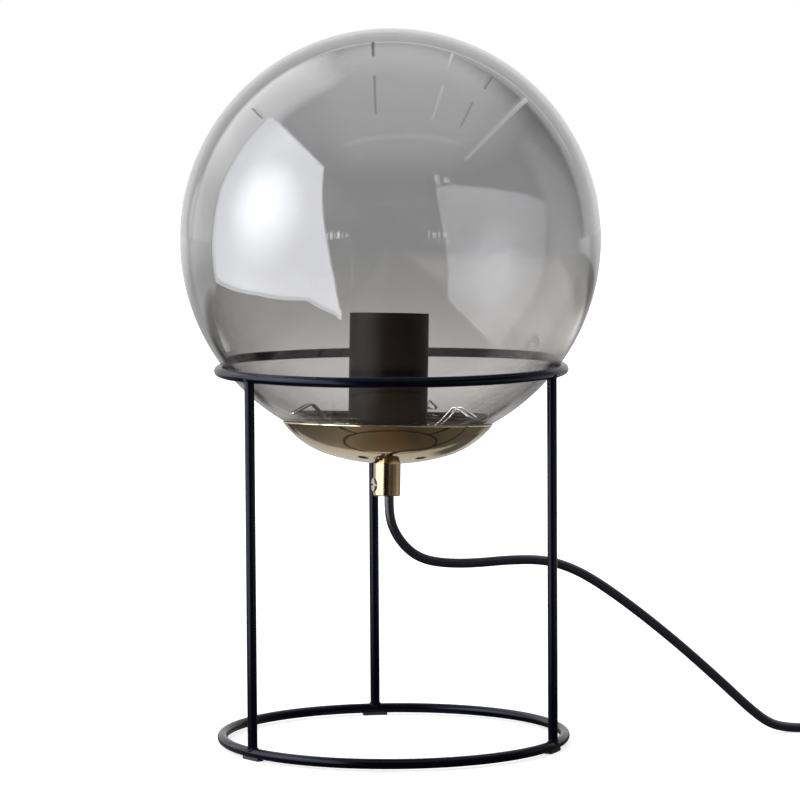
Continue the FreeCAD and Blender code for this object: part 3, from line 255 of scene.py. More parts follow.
# %% Read a smooth line from a route
def smooth_line(name, route, steps=12):
    """Points along the NURBS curve that the route pulls on."""
    curve = bpy.data.curves.new(name, "CURVE")
    curve.dimensions = "3D"
    curve.resolution_u = steps
    spline = curve.splines.new("NURBS")
    spline.points.add(len(route) - 1)
    for point, place in zip(spline.points, route):
        point.co = (*place, 1.0)
    spline.order_u = 3
    spline.use_endpoint_u = True
    holder = bpy.data.objects.new(name, curve)
    read = bpy.data.meshes.new_from_object(holder)
    line = [vertex.co.copy() for vertex in read.vertices]
    bpy.data.meshes.remove(read)
    bpy.data.objects.remove(holder)
    bpy.data.curves.remove(curve)
    return line


def length_of(line):
    return sum((b - a).length for a, b in zip(line, line[1:]))


lead_line = smooth_line("lead_route", LEAD_ROUTE)
flex_line = smooth_line("flex_route", FLEX_ROUTE, steps=6)
print("lead", round(length_of(lead_line), 4), "m, flex", round(length_of(flex_line), 4), "m")


# %% Draw the cord
lead_points, lead_faces = tube_mesh(lead_line, CORD_RADIUS * MM, sides=28)
lead = add_piece("cord_to_switch", lead_points, lead_faces, None, ("cord_lead",))
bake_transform(lead)
flex_points, flex_faces = tube_mesh(flex_line, CORD_RADIUS * MM, sides=20)
flex = add_piece("cord_to_plug", flex_points, flex_faces, "stand",
                 ("cord_run", "cord_coil", "cord_tail"))
print("cord points:", len(lead_points), "and", len(flex_points))

# %% [markdown]
# ## Plug
# A two-pin plug is one moulding of black PVC: flat, wide at its face, drawn in to the cord, with
# a few finger ridges. A box with bevels would lose that draw. The moulding is built here from
# cross-sections along the plug, each a rectangle with round corners, and the ridges are small
# steps in the width of those sections.

# %% Plug moulding and the sleeves on its pins
PLUG_Y, PLUG_Z, PLUG_FACE = 112.2, 6.9, 279.0
PLUG_SECTIONS = [(279.0, 16.3, 5.6), (279.35, 17.0, 6.3), (280.2, 17.5, 6.75),
                 (284.0, 17.6, 6.85), (290.0, 17.6, 6.85), (294.5, 17.3, 6.85),
                 (298.5, 15.7, 6.8), (303.0, 12.9, 6.7), (307.5, 10.2, 6.4), (311.0, 8.5, 6.0),
                 (313.8, 7.5, 5.5), (314.7, 7.0, 5.0), (315.0, 6.4, 4.5)]
GROOVES_FROM, GROOVES_TO, FIRST_GROOVE, GROOVE_PITCH = 297.0, 311.5, 298.2, 2.4
GROOVE_DEEP, GROOVE_DEEP_TOP, PLUG_ROUNDNESS = 0.75, 0.12, 5
PLUG_SIDES, SLEEVE_SIDES, PIN_BESIDE = 64, 32, 9.3
SLEEVE_STEPS = ((279.2, 2.07), (270.4, 2.07), (270.1, 1.98))


def between(table, x):
    """The value of every other column of a table where its first column is x."""
    for (x0, *low), (x1, *high) in zip(table, table[1:]):
        if x <= x1:
            share = (x - x0) / (x1 - x0)
            return [a + (b - a) * share for a, b in zip(low, high)]
    return list(table[-1][1:])


def plug_ring(x):
    """One cross-section: a rectangle whose corners are round, as a power of five draws it."""
    half_wide, half_high = between(PLUG_SECTIONS, x)
    if GROOVES_FROM < x < GROOVES_TO:
        groove = max(0.0, math.cos(2 * math.pi * (x - FIRST_GROOVE) / GROOVE_PITCH)) ** 2
        half_wide -= GROOVE_DEEP * groove
        half_high -= GROOVE_DEEP_TOP * groove
    ring = []
    for _, c, s in circle(PLUG_SIDES):
        reach = (abs(c) ** PLUG_ROUNDNESS + abs(s) ** PLUG_ROUNDNESS) ** (-1 / PLUG_ROUNDNESS)
        ring.append(upright(x, PLUG_Y + half_wide * reach * c, PLUG_Z + half_high * reach * s))
    return ring


plug_steps = sorted({x for x, _, _ in PLUG_SECTIONS}
                    | {PLUG_FACE + 0.3 * k for k in range(1, 120)})
plug_points = [point for x in plug_steps for point in plug_ring(x)]
plug_faces = bands(len(plug_steps), PLUG_SIDES) + end_faces(len(plug_steps), PLUG_SIDES)
plug = add_piece("plug_moulding", plug_points, plug_faces, "stand", ("plug_body",))
sleeve_points, sleeve_faces = [], []
for beside in (-PIN_BESIDE, PIN_BESIDE):
    sleeve_faces += bands(len(SLEEVE_STEPS), SLEEVE_SIDES, len(sleeve_points))
    for x, radius in SLEEVE_STEPS:
        sleeve_points += [upright(x, PLUG_Y + beside + radius * c, PLUG_Z + radius * s)
                          for _, c, s in circle(SLEEVE_SIDES)]
sleeves = add_piece("pin_sleeves", sleeve_points, sleeve_faces, "stand")
print("plug:", [round(1000 * v, 1) for v in plug.dimensions], "mm")

# %% [markdown]
# Here the switch splits the cord in two: a lead of 0.36 m, and 1.38 m to the plug.

# %% Names of both cord pieces
print("cord pieces:", lead.name, flex.name)

# %% [markdown]
# ## Studio
# The picture is a catalogue one: white paper all round, one large soft lamp on the left and a
# dim room behind the photographer. A glass ball mirrors the whole room, so the room's light
# matters more than the light that falls on the glass. A ready-made studio picture would be
# quick, but the ball would mirror somebody else's room. The world is built here instead:
# white where the camera looks past the lamp, and darker where only a mirror looks.
# The trees get long, so a few helpers add nodes the way a formula is written.

# %% Helpers that add nodes
def feed(tree, value, socket):
    """Link a value to a socket, or write it there if it is a plain number or colour."""
    if isinstance(value, bpy.types.NodeSocket):
        tree.links.new(value, socket)
    else:
        socket.default_value = value


def node(tree, kind, **values):
    """A new node. Values whose name is a socket go to that socket, others to the node."""
    made = tree.nodes.new(kind)
    for name, value in values.items():
        socket = made.inputs.get(name.replace("_", " "))
        if socket is not None:
            feed(tree, value, socket)
        else:
            setattr(made, name, value)
    return made


def feed_all(tree, made, values):
    for socket, value in zip(made.inputs, values):
        feed(tree, value, socket)
    return made.outputs


def maths(tree, operation, *values, clamp=False):
    """One Math node. Its inputs are sockets or plain numbers."""
    made = node(tree, "ShaderNodeMath", operation=operation, use_clamp=clamp)
    return feed_all(tree, made, values)[0]


def product(tree, *values):
    return reduce(lambda one, two: maths(tree, "MULTIPLY", one, two), values)


def largest(tree, *values):
    return reduce(lambda one, two: maths(tree, "MAXIMUM", one, two), values)


def within(tree, value, low, high):
    """1 where a value lies between two limits, else 0."""
    return product(tree, maths(tree, "GREATER_THAN", value, low),
                   maths(tree, "LESS_THAN", value, high))


def vectors(tree, operation, *values):
    """One Vector Math node, and the number or the vector that it makes."""
    outputs = feed_all(tree, node(tree, "ShaderNodeVectorMath", operation=operation), values)
    is_number = operation in ("DOT_PRODUCT", "DISTANCE", "LENGTH")
    return outputs["Value" if is_number else "Vector"]


def axes_of(tree, vector):
    return node(tree, "ShaderNodeSeparateXYZ", Vector=vector).outputs


# %% Helpers that step, mix and sort rays
def smooth_step(tree, value, low, high, to_low=0.0, to_high=1.0):
    """A value that goes softly from to_low to to_high between low and high."""
    return node(tree, "ShaderNodeMapRange", interpolation_type="SMOOTHSTEP", Value=value,
                From_Min=low, From_Max=high, To_Min=to_low, To_Max=to_high).outputs["Result"]


def stepped(tree, axes, steps):
    """The product of soft steps, each as (axis, low, high, level at low, level at high)."""
    return product(tree, *(smooth_step(tree, axes[label], *ends) for label, *ends in steps))


def colour_steps(tree, value, steps):
    """A colour ramp with (position, colour) steps. A number stands for a grey."""
    made = node(tree, "ShaderNodeValToRGB", Fac=value)
    ramp = made.color_ramp.elements
    steps = [(at, (*tone, 1) if isinstance(tone, tuple) else (tone, tone, tone, 1))
             for at, tone in steps]
    for end in (0, -1):
        ramp[end].position, ramp[end].color = steps[end]
    for at, tone in steps[1:-1]:
        ramp.new(at).color = tone
    return made.outputs["Color"]


def mixed(tree, share, first, second, kind="RGBA", way="MIX"):
    """One Mix node: first where share is 0, second where it is 1."""
    made = node(tree, "ShaderNodeMix", data_type=kind, blend_type=way)
    slots, result = ((0, 6, 7), 2) if kind == "RGBA" else ((0, 2, 3), 0)
    for slot, value in zip(slots, (share, first, second)):
        feed(tree, value, made.inputs[slot])
    return made.outputs[result]


def mixed_shaders(tree, share, first, second):
    return feed_all(tree, tree.nodes.new("ShaderNodeMixShader"), (share, first, second))[0]


def looks_past(tree):
    """1 for a ray from the camera, or one through glass that has met nothing else yet.

    Light Path's outputs come with it."""
    path = node(tree, "ShaderNodeLightPath").outputs
    met = maths(tree, "ADD", path["Glossy Depth"], path["Diffuse Depth"])
    through = product(tree, path["Is Transmission Ray"], maths(tree, "LESS_THAN", met, 0.5))
    return largest(tree, path["Is Camera Ray"], through), path


print("node helpers ready")

# %% [markdown]
# The room is drawn by direction: Y leads away from the camera, X to its right and Z up. Every
# pale part of it is a product of soft steps, and where two parts overlap the brighter one wins.
# Noise keeps the dim rest from being one flat tone.

# %% The room that glass and metal mirror
WHITE, BLACK = (1, 1, 1, 1), (0, 0, 0, 1)
RIGHT_WALL = (("X", 0.6, 0.96, 0.0, 0.6), ("Y", 0.02, 0.2, 0.25, 1.0))
ROOM_PARTS = {
    "paper behind": (("Y", 0.6, 0.7, 0.0, 0.95),),
    "ceiling": (("Z", 0.5, 0.86, 0.0, 1.3), ("Y", 0.1, 0.5, 1.0, 1.3),
                ("X", -0.55, -0.3, 0.6, 1.0)),
    "right wall": RIGHT_WALL,
    "pale corner": (("X", -0.05, -0.42), ("Y", 0.02, 0.32), ("Z", 0.15, 0.42, 1.0, 1.45),
                    ("Y", 0.7, 0.79, 1.95, 0.5), ("Z", -0.1, -0.02)),
    "thin edge": (("Y", 0.728, 0.742), ("Y", 0.752, 0.766, 1.55, 0.0), ("Z", 0.05, 0.3))}
LIT_EDGE_TOWARDS = (-0.664, 0.745, 0.06)
world = bpy.data.worlds.new("studio")
bpy.context.scene.world = world
world.use_nodes = True
room = world.node_tree
room.nodes.clear()
direction = node(room, "ShaderNodeTexCoord").outputs["Generated"]
axes = axes_of(room, direction)
lit_edge = smooth_step(room, vectors(room, "DOT_PRODUCT", direction, LIT_EDGE_TOWARDS),
                       0.985, 0.997, 0.0, 1.5)
shadows = node(room, "ShaderNodeTexNoise", Scale=2.6, Detail=3.0, Vector=direction)
dim = smooth_step(room, shadows.outputs["Fac"], 0.4, 0.65, 0.015, 0.1)
mirrored = largest(room, lit_edge, dim,
                   *(stepped(room, axes, steps) for steps in ROOM_PARTS.values()))
print("parts of the room:", ", ".join(ROOM_PARTS))

# %% [markdown]
# The ceiling's panels meet in thin seams, and the ball shows them as fine curves near its top.
# Drawn on the glass they would slide with the camera. Here they are straight lines on a flat
# ceiling one unit up, and the ball bends them by itself. The law of mirrors gives their ends:
# a look that meets the ball at a known place leaves it in a known direction.

# %% Seams and a cornice on the ceiling
GLOBE_AT, GLOBE_ACROSS = (390.36, 239.46), 209.35
LOWEST, CEILING_FROM = 0.05, 0.2
above = maths(room, "MAXIMUM", axes["Z"], LOWEST)
ceiling_x = maths(room, "DIVIDE", axes["X"], above)
ceiling_y = maths(room, "DIVIDE", axes["Y"], above)


def sent_off(px, py):
    """The direction in which the globe's front sends a look at the picture's (px, py)."""
    normal = Vector(((px - GLOBE_AT[0]) / GLOBE_ACROSS, 0, (GLOBE_AT[1] - py) / GLOBE_ACROSS))
    normal.y = -math.sqrt(max(0.0, 1 - normal.length_squared))
    pitch = Matrix.Rotation(CAMERA_PITCH, 3, "X")
    normal, look = pitch @ normal, pitch @ Vector((0, 1, 0))
    return look - 2 * look.dot(normal) * normal


def on_ceiling(px, py):
    away = sent_off(px, py)
    return away.xy / max(away.z, LOWEST)


def ceiling_line(px0, py0, px1, py1, width):
    """1 on a straight line between the ceiling places that the globe mirrors there."""
    start = on_ceiling(px0, py0)
    run = on_ceiling(px1, py1) - start
    step_x, step_y = run.normalized()
    from_x = maths(room, "SUBTRACT", ceiling_x, start.x)
    from_y = maths(room, "SUBTRACT", ceiling_y, start.y)
    along = maths(room, "ADD", product(room, from_x, step_x), product(room, from_y, step_y))
    off = maths(room, "ABSOLUTE", maths(room, "SUBTRACT", product(room, from_x, step_y),
                                        product(room, from_y, step_x)))
    return product(room, within(room, along, 0.0, run.length),
                   maths(room, "GREATER_THAN", axes["Z"], CEILING_FROM),
                   smooth_step(room, off, width * 0.5, width, 1.0, 0.0))


DARK_SEAMS = ((375, 47, 375, 62, 0.011), (376, 82, 377, 120, 0.013), (488, 80, 481, 94, 0.011),
              (470, 108, 458, 134, 0.013), (259, 108, 268, 120, 0.014))
PALE_SEAMS = ((450, 58, 446, 74, 0.012), (442, 92, 431, 127, 0.013),
              (521, 100, 463, 166, 0.034), (330, 62, 332, 76, 0.009))
CORNICE = ((345, 152, 368, 146, 0.05), (368, 146, 400, 143, 0.05),
           (400, 143, 432, 144, 0.05), (432, 144, 460, 151, 0.05))
SEAM_DEPTH, SEAM_GLOW, CORNICE_GLOW = 0.97, 2.1, 0.35
dark, pale, cornice = (largest(room, *(ceiling_line(*line) for line in lines))
                       for lines in (DARK_SEAMS, PALE_SEAMS, CORNICE))
mirrored = product(room, mirrored,
                   maths(room, "SUBTRACT", 1.0, product(room, dark, SEAM_DEPTH)))
mirrored = largest(room, mirrored, product(room, pale, SEAM_GLOW))
mirrored = maths(room, "ADD", mirrored, product(room, cornice, CORNICE_GLOW))
print("ceiling lines:", len(DARK_SEAMS + PALE_SEAMS + CORNICE))

# %% [markdown]
# Small windows far behind the photographer, and the thin lines of a doorway, sparkle in the
# middle of the ball. The same law of mirrors says where they stand.

# %% Far windows and a doorway in the dim room
FAR_LIGHTS = (
    (328, 237, 330, 243, 3.2), (331.5, 236, 334, 243, 5.0), (335.5, 237, 337, 242, 4.0),
    (338.5, 236, 341, 242, 6.0), (343, 237, 344.5, 242, 3.4), (346, 238, 350, 241, 2.6),
    (427, 236, 429, 243, 1.8), (431, 237, 435, 242, 2.4), (437, 236, 439, 242, 2.0),
    (441, 238, 446, 241, 1.5), (372, 208, 424, 209, 0.34), (352, 262, 353.5, 288, 0.5),
    (430, 258, 431.5, 290, 0.42), (424, 209, 425, 296, 0.3))
for left, top, right, bottom, level in FAR_LIGHTS:
    upper, lower = sent_off(left, top), sent_off(right, bottom)
    mirrored = largest(room, mirrored, product(
        room, maths(room, "LESS_THAN", axes["Y"], 0.0),
        within(room, axes["X"], upper.x, lower.x),
        within(room, axes["Z"], lower.z, upper.z), level))
print("far lights:", len(FAR_LIGHTS))

# %% [markdown]
# The camera, and a look straight through the glass, must see plain white, while a mirror must
# see the room. Light Path tells the rays apart. Paint and plastic get one even level instead
# of the room, so that its seams and windows leave no grain in them.

# %% Which rays see which room
ROOM_LIGHT = 0.42
past, path = looks_past(room)
seen = mixed(room, path["Is Diffuse Ray"], mirrored, ROOM_LIGHT, "FLOAT")
sky = node(room, "ShaderNodeBackground", Color=WHITE,
           Strength=mixed(room, past, seen, 1.0, "FLOAT"))
node(room, "ShaderNodeOutputWorld", Surface=sky.outputs[0])
print("world nodes:", len(room.nodes))

# %% [markdown]
# ## Paper floor
# The lamp stands on white paper that sweeps up behind it. The camera sees only white there and
# the lamp's shadow. The brass and the ball's underside mirror more: a dark tone with a brown
# middle in front, which is painted shade for the lamp's shadow and the dim studio, pale paper
# behind it with two patches of painted shade, and a far floor that meets the room at the horizon.
# A real room would need a whole set of meshes, so one floor carries all of it as tones
# that only mirrored rays see.

# %% Flat pieces of the studio
def flat_sheet(name, corners, material):
    """A flat stage piece from its corners. Its front faces up or to the right."""
    mesh = bpy.data.meshes.new(name)
    mesh.from_pydata([tuple(c) for c in corners], [], [tuple(range(len(corners)))])
    mesh.materials.append(material)
    if mesh.polygons[0].normal.x < 0:
        mesh.flip_normals()
    sheet = bpy.data.objects.new(name, mesh)
    bpy.context.scene.collection.objects.link(sheet)
    return sheet


def bare_material(name):
    """A material without its ready-made shader, and its node tree."""
    material = bpy.data.materials.new(name)
    material.use_nodes = True
    material.node_tree.nodes.clear()
    return material, material.node_tree


print("stage helpers ready")

# %% Tones of the painted shade in front and of the paper, left to right
paper, tree = bare_material("white_paper")
place = node(tree, "ShaderNodeNewGeometry").outputs["Position"]
at = axes_of(tree, place)
across = maths(tree, "ADD", at["X"], 0.5, clamp=True)
# Painted shade: the dark tone with a brown middle in front of the lamp stands for its shadow and
# the dim studio, and only mirrors see it.
painted_shade_tone = colour_steps(tree, across, [
    (0.0, 0.04), (0.16, 0.04), (0.28, (0.13, 0.13, 0.135)), (0.4, (0.25, 0.225, 0.2)),
    (0.455, (0.16, 0.13, 0.1)), (0.5, (0.14, 0.095, 0.07)), (0.56, (0.075, 0.066, 0.05)),
    (0.65, (0.11, 0.11, 0.097)), (0.75, (0.14, 0.14, 0.13)), (0.85, (0.2, 0.2, 0.19)),
    (0.93, (0.85, 0.83, 0.8)), (1.0, (1.1, 1.07, 1.03))])
near_tone = colour_steps(tree, across, [
    (0.2, (0.26, 0.265, 0.27)), (0.3, (0.5, 0.5, 0.49)), (0.42, (0.55, 0.56, 0.56)),
    (0.5, (0.5, 0.5, 0.49)), (0.58, (0.42, 0.42, 0.41)), (0.66, (0.58, 0.58, 0.57)),
    (0.73, 0.3), (0.84, 0.3), (0.95, (0.85, 0.83, 0.8))])
FAR_SCALE, FAR_START = 0.5, 0.8
far_across = maths(tree, "ADD", product(tree, at["X"], FAR_SCALE), FAR_START, clamp=True)
far_tone = colour_steps(tree, far_across, [(0.0, 1.25), (0.45, 1.2), (0.62, 1.0), (0.8, 0.95)])


def soft_patch(x0, x1, y0, y1, soft):
    """1 over a rectangle of the floor, fading out within soft metres of its sides."""
    return stepped(tree, at, (("X", x0 - soft, x0), ("X", x1, x1 + soft, 1.0, 0.0),
                              ("Y", y0 - soft, y0), ("Y", y1, y1 + soft, 1.0, 0.0)))


# Painted shade: two soft patches of the paper behind the lamp are darkened towards black, and
# only mirrors see them.
painted_shade_patches = product(tree, largest(tree, soft_patch(0.09, 0.19, 0.18, 0.33, 0.04),
                               soft_patch(-0.4, -0.23, 0.36, 0.5, 0.05)), 0.8)
near_tone = mixed(tree, painted_shade_patches, near_tone, BLACK)
print("tones of the floor ready")

# %% [markdown]
# The far floor has to meet the room's wall without a step, wherever on the ball it is seen.
# Its brightness therefore goes by the bearing from the ball's middle, as the room's does.

# %% Put the tones in their places
SHADE_BEND, SHADE_EDGE, FAR_SLANT = 4.5, 0.075, 0.35
bearing = axes_of(tree, vectors(tree, "NORMALIZE",
                                vectors(tree, "SUBTRACT", place, GLOBE_CENTRE * MM)))
towards_horizon = stepped(tree, bearing, (("Z", -0.2, -0.02, 0.7, 1.3),
                                          ("Y", 0.7, 0.79, 1.0, 0.65)))
far_tone = mixed(tree, 1.0, far_tone, towards_horizon, way="MULTIPLY")
slanted = maths(tree, "SUBTRACT", at["Y"], product(tree, at["X"], FAR_SLANT))
far_off = largest(tree, smooth_step(tree, slanted, 0.7, 1.05),
                  smooth_step(tree, at["X"], -0.75, -1.1))
# The painted shade in front ends on a curved edge, and the paper begins there.
bend = product(tree, maths(tree, "POWER", maths(tree, "ABSOLUTE", at["X"]), 2.0), SHADE_BEND)
past_edge = maths(tree, "SUBTRACT", at["Y"], maths(tree, "ADD", bend, SHADE_EDGE))
on_paper = largest(tree, smooth_step(tree, past_edge, -0.004, 0.012), far_off)
tone = mixed(tree, on_paper, painted_shade_tone, mixed(tree, far_off, near_tone, far_tone))
tone = mixed(tree, product(tree, soft_patch(0.8, 2.6, 0.7, 2.0, 0.3), 0.5), tone, BLACK)
wall_tone = largest(tree, stepped(tree, bearing, RIGHT_WALL), 0.05)
near_wall = product(tree, smooth_step(tree, bearing["Z"], -0.2, -0.04),
                    maths(tree, "GREATER_THAN", at["X"], 0.3),
                    smooth_step(tree, bearing["Y"], 0.5, 0.62, 1.0, 0.0))
tone = mixed(tree, near_wall, tone, wall_tone)
table_end = largest(tree, *(product(tree, maths(tree, "LESS_THAN", at["X"], x),
                                    maths(tree, "LESS_THAN", at["Y"], y))
                            for x, y in ((-0.42, 0.4), (-0.2, -0.335))))
print("floor nodes so far:", len(tree.nodes))

# %% [markdown]
# The floor sorts its rays in the same way: the camera sees lit paper with the lamp's shadow on
# it, a look through the glass sees white, and only a mirror sees the tones.

# %% Which rays see which floor
past, path = looks_past(tree)
matt = node(tree, "ShaderNodeBsdfDiffuse", Color=(0.8, 0.8, 0.8, 1)).outputs[0]
white = node(tree, "ShaderNodeEmission", Color=WHITE).outputs[0]
paler_outward = smooth_step(tree, vectors(tree, "LENGTH", place), 0.3, 1.2, 0.62, 1.0)
glow = node(tree, "ShaderNodeEmission", Color=WHITE, Strength=paler_outward).outputs[0]
lit_paper = feed_all(tree, tree.nodes.new("ShaderNodeAddShader"), (matt, glow))[0]
mirror_tone = mixed_shaders(tree, table_end,
                            node(tree, "ShaderNodeEmission", Color=tone).outputs[0],
                            node(tree, "ShaderNodeBsdfTransparent").outputs[0])
plain = mixed_shaders(tree, path["Is Camera Ray"], matt, lit_paper)
plain = mixed_shaders(tree, maths(tree, "SUBTRACT", past, path["Is Camera Ray"]), plain, white)
only_mirror = product(tree, maths(tree, "SUBTRACT", 1.0, past),
                      maths(tree, "SUBTRACT", 1.0, path["Is Diffuse Ray"]))
node(tree, "ShaderNodeOutputMaterial",
     Surface=mixed_shaders(tree, only_mirror, plain, mirror_tone))
FLOOR_HALF = 9
floor = flat_sheet("floor", [(x * FLOOR_HALF, y * FLOOR_HALF, 0) for x, y in
                             ((-1, -1), (1, -1), (1, 1), (-1, 1))], paper)
print("floor side:", round(floor.dimensions.x, 1), "m")

# %% [markdown]
# ## Soft lamp
# The large pale shape on the ball's left is a soft lamp: white cloth in a dark frame, brighter
# where its bulb sits. An area light shows in mirrors as a plain rectangle, but the real one has
# bulging sides and a tail below, so it is a flat mesh with its own outline that shines on its
# front. Its cloth looks brighter in a mirror than the light it gives, so the two strengths
# are set apart by Light Path.

# %% Large soft lamp on the left
LAMP_MIDDLE = Vector((-0.877, -0.267, 0.571))
LAMP_ACROSS = Vector((0.297, -0.945, -0.137)).normalized()
LAMP_UP = Vector((-0.038, -0.022, 0.999)).normalized()
LAMP_OUTLINE = [(-0.79, 0.79), (0.567, 0.64), (0.682, 0.197), (0.8, -0.218), (0.84, -0.523),
                (0.816, -1.127), (0.717, -0.953), (0.549, -0.809), (0.43, -0.7), (-0.074, -0.63),
                (-0.655, -0.625), (-0.62, -0.288), (-0.66, -0.04), (-0.66, 0.18), (-0.71, 0.49)]
BULB_AT, BULB_GLOW, CLOTH_GLOW = (-0.861, -0.318, 0.558), 5.0, 6.2
THROUGH_GLASS, GIVEN_LIGHT = 1.45, 2.3
soft, tree = bare_material("soft_lamp")
past, path = looks_past(tree)
spot = node(tree, "ShaderNodeTexCoord").outputs["Object"]
bulb = smooth_step(tree, vectors(tree, "DISTANCE", spot, BULB_AT), 0.04, 0.5, BULB_GLOW, 0.0)
cloth_level = product(tree, maths(tree, "ADD", bulb, CLOTH_GLOW),
                      smooth_step(tree, axes_of(tree, spot)["Y"], -0.25, 0.4, 1.0, 0.62))
level = largest(tree, product(tree, cloth_level, path["Is Glossy Ray"]),
                product(tree, cloth_level, THROUGH_GLASS, path["Is Transmission Ray"]),
                GIVEN_LIGHT)
shine = node(tree, "ShaderNodeEmission", Color=(0.93, 0.95, 1.0, 1),
             Strength=mixed(tree, past, level, 1.0, "FLOAT"))
node(tree, "ShaderNodeOutputMaterial", Surface=mixed_shaders(
    tree, node(tree, "ShaderNodeNewGeometry").outputs["Backfacing"], shine.outputs[0],
    node(tree, "ShaderNodeBsdfTransparent").outputs[0]))


def lamp_corners(grow=0.0, back=Vector()):
    return [LAMP_MIDDLE + back + LAMP_ACROSS * (across + math.copysign(grow, across))
            + LAMP_UP * (up + math.copysign(grow, up)) for across, up in LAMP_OUTLINE]


soft_lamp = flat_sheet("soft_lamp", lamp_corners(), soft)
soft_lamp.visible_camera = False
facing = soft_lamp.data.polygons[0].normal
print("soft lamp faces", [round(v, 2) for v in facing])

# %% Dark frame behind the lamp's cloth
FRAME_WIDE, FRAME_BACK = 0.014, -0.006
frame_black = bpy.data.materials.new("lamp_frame")
frame_black.use_nodes = True
frame_black.node_tree.nodes["Principled BSDF"].inputs["Base Color"].default_value = (
    0.01, 0.01, 0.01, 1)
lamp_frame = flat_sheet("lamp_frame", lamp_corners(FRAME_WIDE, facing * FRAME_BACK),
                        frame_black)
lamp_frame.visible_camera = False
lamp_frame.visible_shadow = False
lamp_frame.visible_diffuse = False
print("frame stands out by", FRAME_WIDE, "m")

# %% [markdown]
# The soft lamp alone would leave the right sides of cord and stand without any shape. A large
# weak light overhead lifts them, and no mirror shows it.

# %% Weak fill from above
fill_data = bpy.data.lights.new("overhead_fill", "AREA")
fill_data.shape = "DISK"
fill_data.size = 1.6
fill_data.energy = 9.0
fill = bpy.data.objects.new("overhead_fill", fill_data)
fill.location = (0.1, 0.2, 1.9)
fill.visible_camera = False
fill.visible_glossy = False
fill.visible_transmission = False
bpy.context.scene.collection.objects.link(fill)
print("fill", fill_data.energy, "W")

# %% [markdown]
# ## Finishes
# Real paint, plastic and brass are never one flat colour. Three effects come back in several
# finishes, so each is a node group of its own: the fine grain of powder coat and moulded
# plastic, the rings that a lathe or a buffing wheel leaves, and the dull touch marks of
# handling. A group can be placed in any material with other numbers, which keeps the
# finishes of one lamp related.

# %% Make a node group with named sockets
VALUE, VECTOR, COLOUR = "NodeSocketFloat", "NodeSocketVector", "NodeSocketColor"


def new_group(name, inputs, outputs):
    """An empty group, the outputs of its input node, and its output node."""
    group = bpy.data.node_groups.new(name, "ShaderNodeTree")
    for label, kind, value in inputs:
        socket = group.interface.new_socket(label, in_out="INPUT", socket_type=kind)
        if value is not None:
            socket.default_value = value
    for label, kind in outputs:
        group.interface.new_socket(label, in_out="OUTPUT", socket_type=kind)
    given, result = group.nodes.new("NodeGroupInput"), group.nodes.new("NodeGroupOutput")
    return group, given.outputs, result


def hand_out(group, result, **values):
    for label, value in values.items():
        feed(group, value, result.inputs[label])
    print("group:", group.name, [socket.name for socket in group.interface.items_tree])


# %% Fine grain of powder coat and moulded plastic
SURFACE_OUTPUTS = [("Height", VALUE), ("Roughness", VALUE), ("Mask", VALUE)]
grain, given, result = new_group(
    "fine_grain",
    [("Position", VECTOR, None), ("Scale", VALUE, 900.0), ("Roughness", VALUE, 0.4),
     ("Spread", VALUE, 0.08)], SURFACE_OUTPUTS)
bumps = node(grain, "ShaderNodeTexNoise", Detail=2.0, Vector=given["Position"],
             Scale=given["Scale"])
broad = node(grain, "ShaderNodeTexNoise", Scale=55.0, Detail=3.0, Vector=given["Position"])
uneven = product(grain, maths(grain, "SUBTRACT", broad.outputs["Fac"], 0.5),
                 given["Spread"], 2.0)
hand_out(grain, result, Height=bumps.outputs["Fac"], Mask=broad.outputs["Fac"],
         Roughness=maths(grain, "ADD", given["Roughness"], uneven))

# %% Rings left by turning and buffing
rings, given, result = new_group(
    "turning_rings",
    [("Position", VECTOR, None), ("Spacing", VALUE, 1500.0), ("Roughness", VALUE, 0.1),
     ("Spread", VALUE, 0.05)], SURFACE_OUTPUTS)
about = axes_of(rings, given["Position"])
ring_radius = maths(rings, "SQRT", maths(rings, "ADD", maths(rings, "POWER", about["X"], 2.0),
                                         maths(rings, "POWER", about["Y"], 2.0)))
ring_place = node(rings, "ShaderNodeCombineXYZ", X=ring_radius, Y=about["Z"],
                  Z=product(rings, about["X"], 0.02))
marks = node(rings, "ShaderNodeTexNoise", Detail=3.0, Vector=ring_place.outputs[0],
             Scale=given["Spacing"])
smears = node(rings, "ShaderNodeTexNoise", Scale=38.0, Detail=4.0, Vector=given["Position"])
uneven = product(rings, maths(rings, "SUBTRACT", smears.outputs["Fac"], 0.45),
                 product(rings, given["Spread"], 3.0))
hand_out(rings, result, Height=marks.outputs["Fac"], Mask=smears.outputs["Fac"],
         Roughness=largest(rings, maths(rings, "ADD", given["Roughness"], uneven), 0.02))

# %% Dust and touch marks
dust, given, result = new_group(
    "touch_marks",
    [("Position", VECTOR, None), ("Colour", COLOUR, (0.5, 0.5, 0.5, 1)),
     ("Dust Colour", COLOUR, (0.3, 0.3, 0.3, 1)), ("Amount", VALUE, 0.06)],
    [("Colour", COLOUR), ("Mask", VALUE)])
fluff = node(dust, "ShaderNodeTexNoise", Scale=420.0, Detail=5.0, Roughness=0.7,
             Vector=given["Position"])
patches = node(dust, "ShaderNodeTexNoise", Scale=24.0, Detail=2.0, Vector=given["Position"])
mask = maths(dust, "MULTIPLY", product(dust, smooth_step(dust, fluff.outputs["Fac"], 0.5, 0.75),
                                       smooth_step(dust, patches.outputs["Fac"], 0.35, 0.7)),
             given["Amount"], clamp=True)
hand_out(dust, result, Mask=mask,
         Colour=mixed(dust, mask, given["Colour"], given["Dust Colour"]))


# %% A finish: shader, grain or rings, and touch marks
def set_shader(material, **values):
    """Feed sockets of a material's Principled BSDF by name."""
    shader = material.node_tree.nodes["Principled BSDF"]
    for name, value in values.items():
        feed(material.node_tree, value, shader.inputs[name.replace("_", " ")])


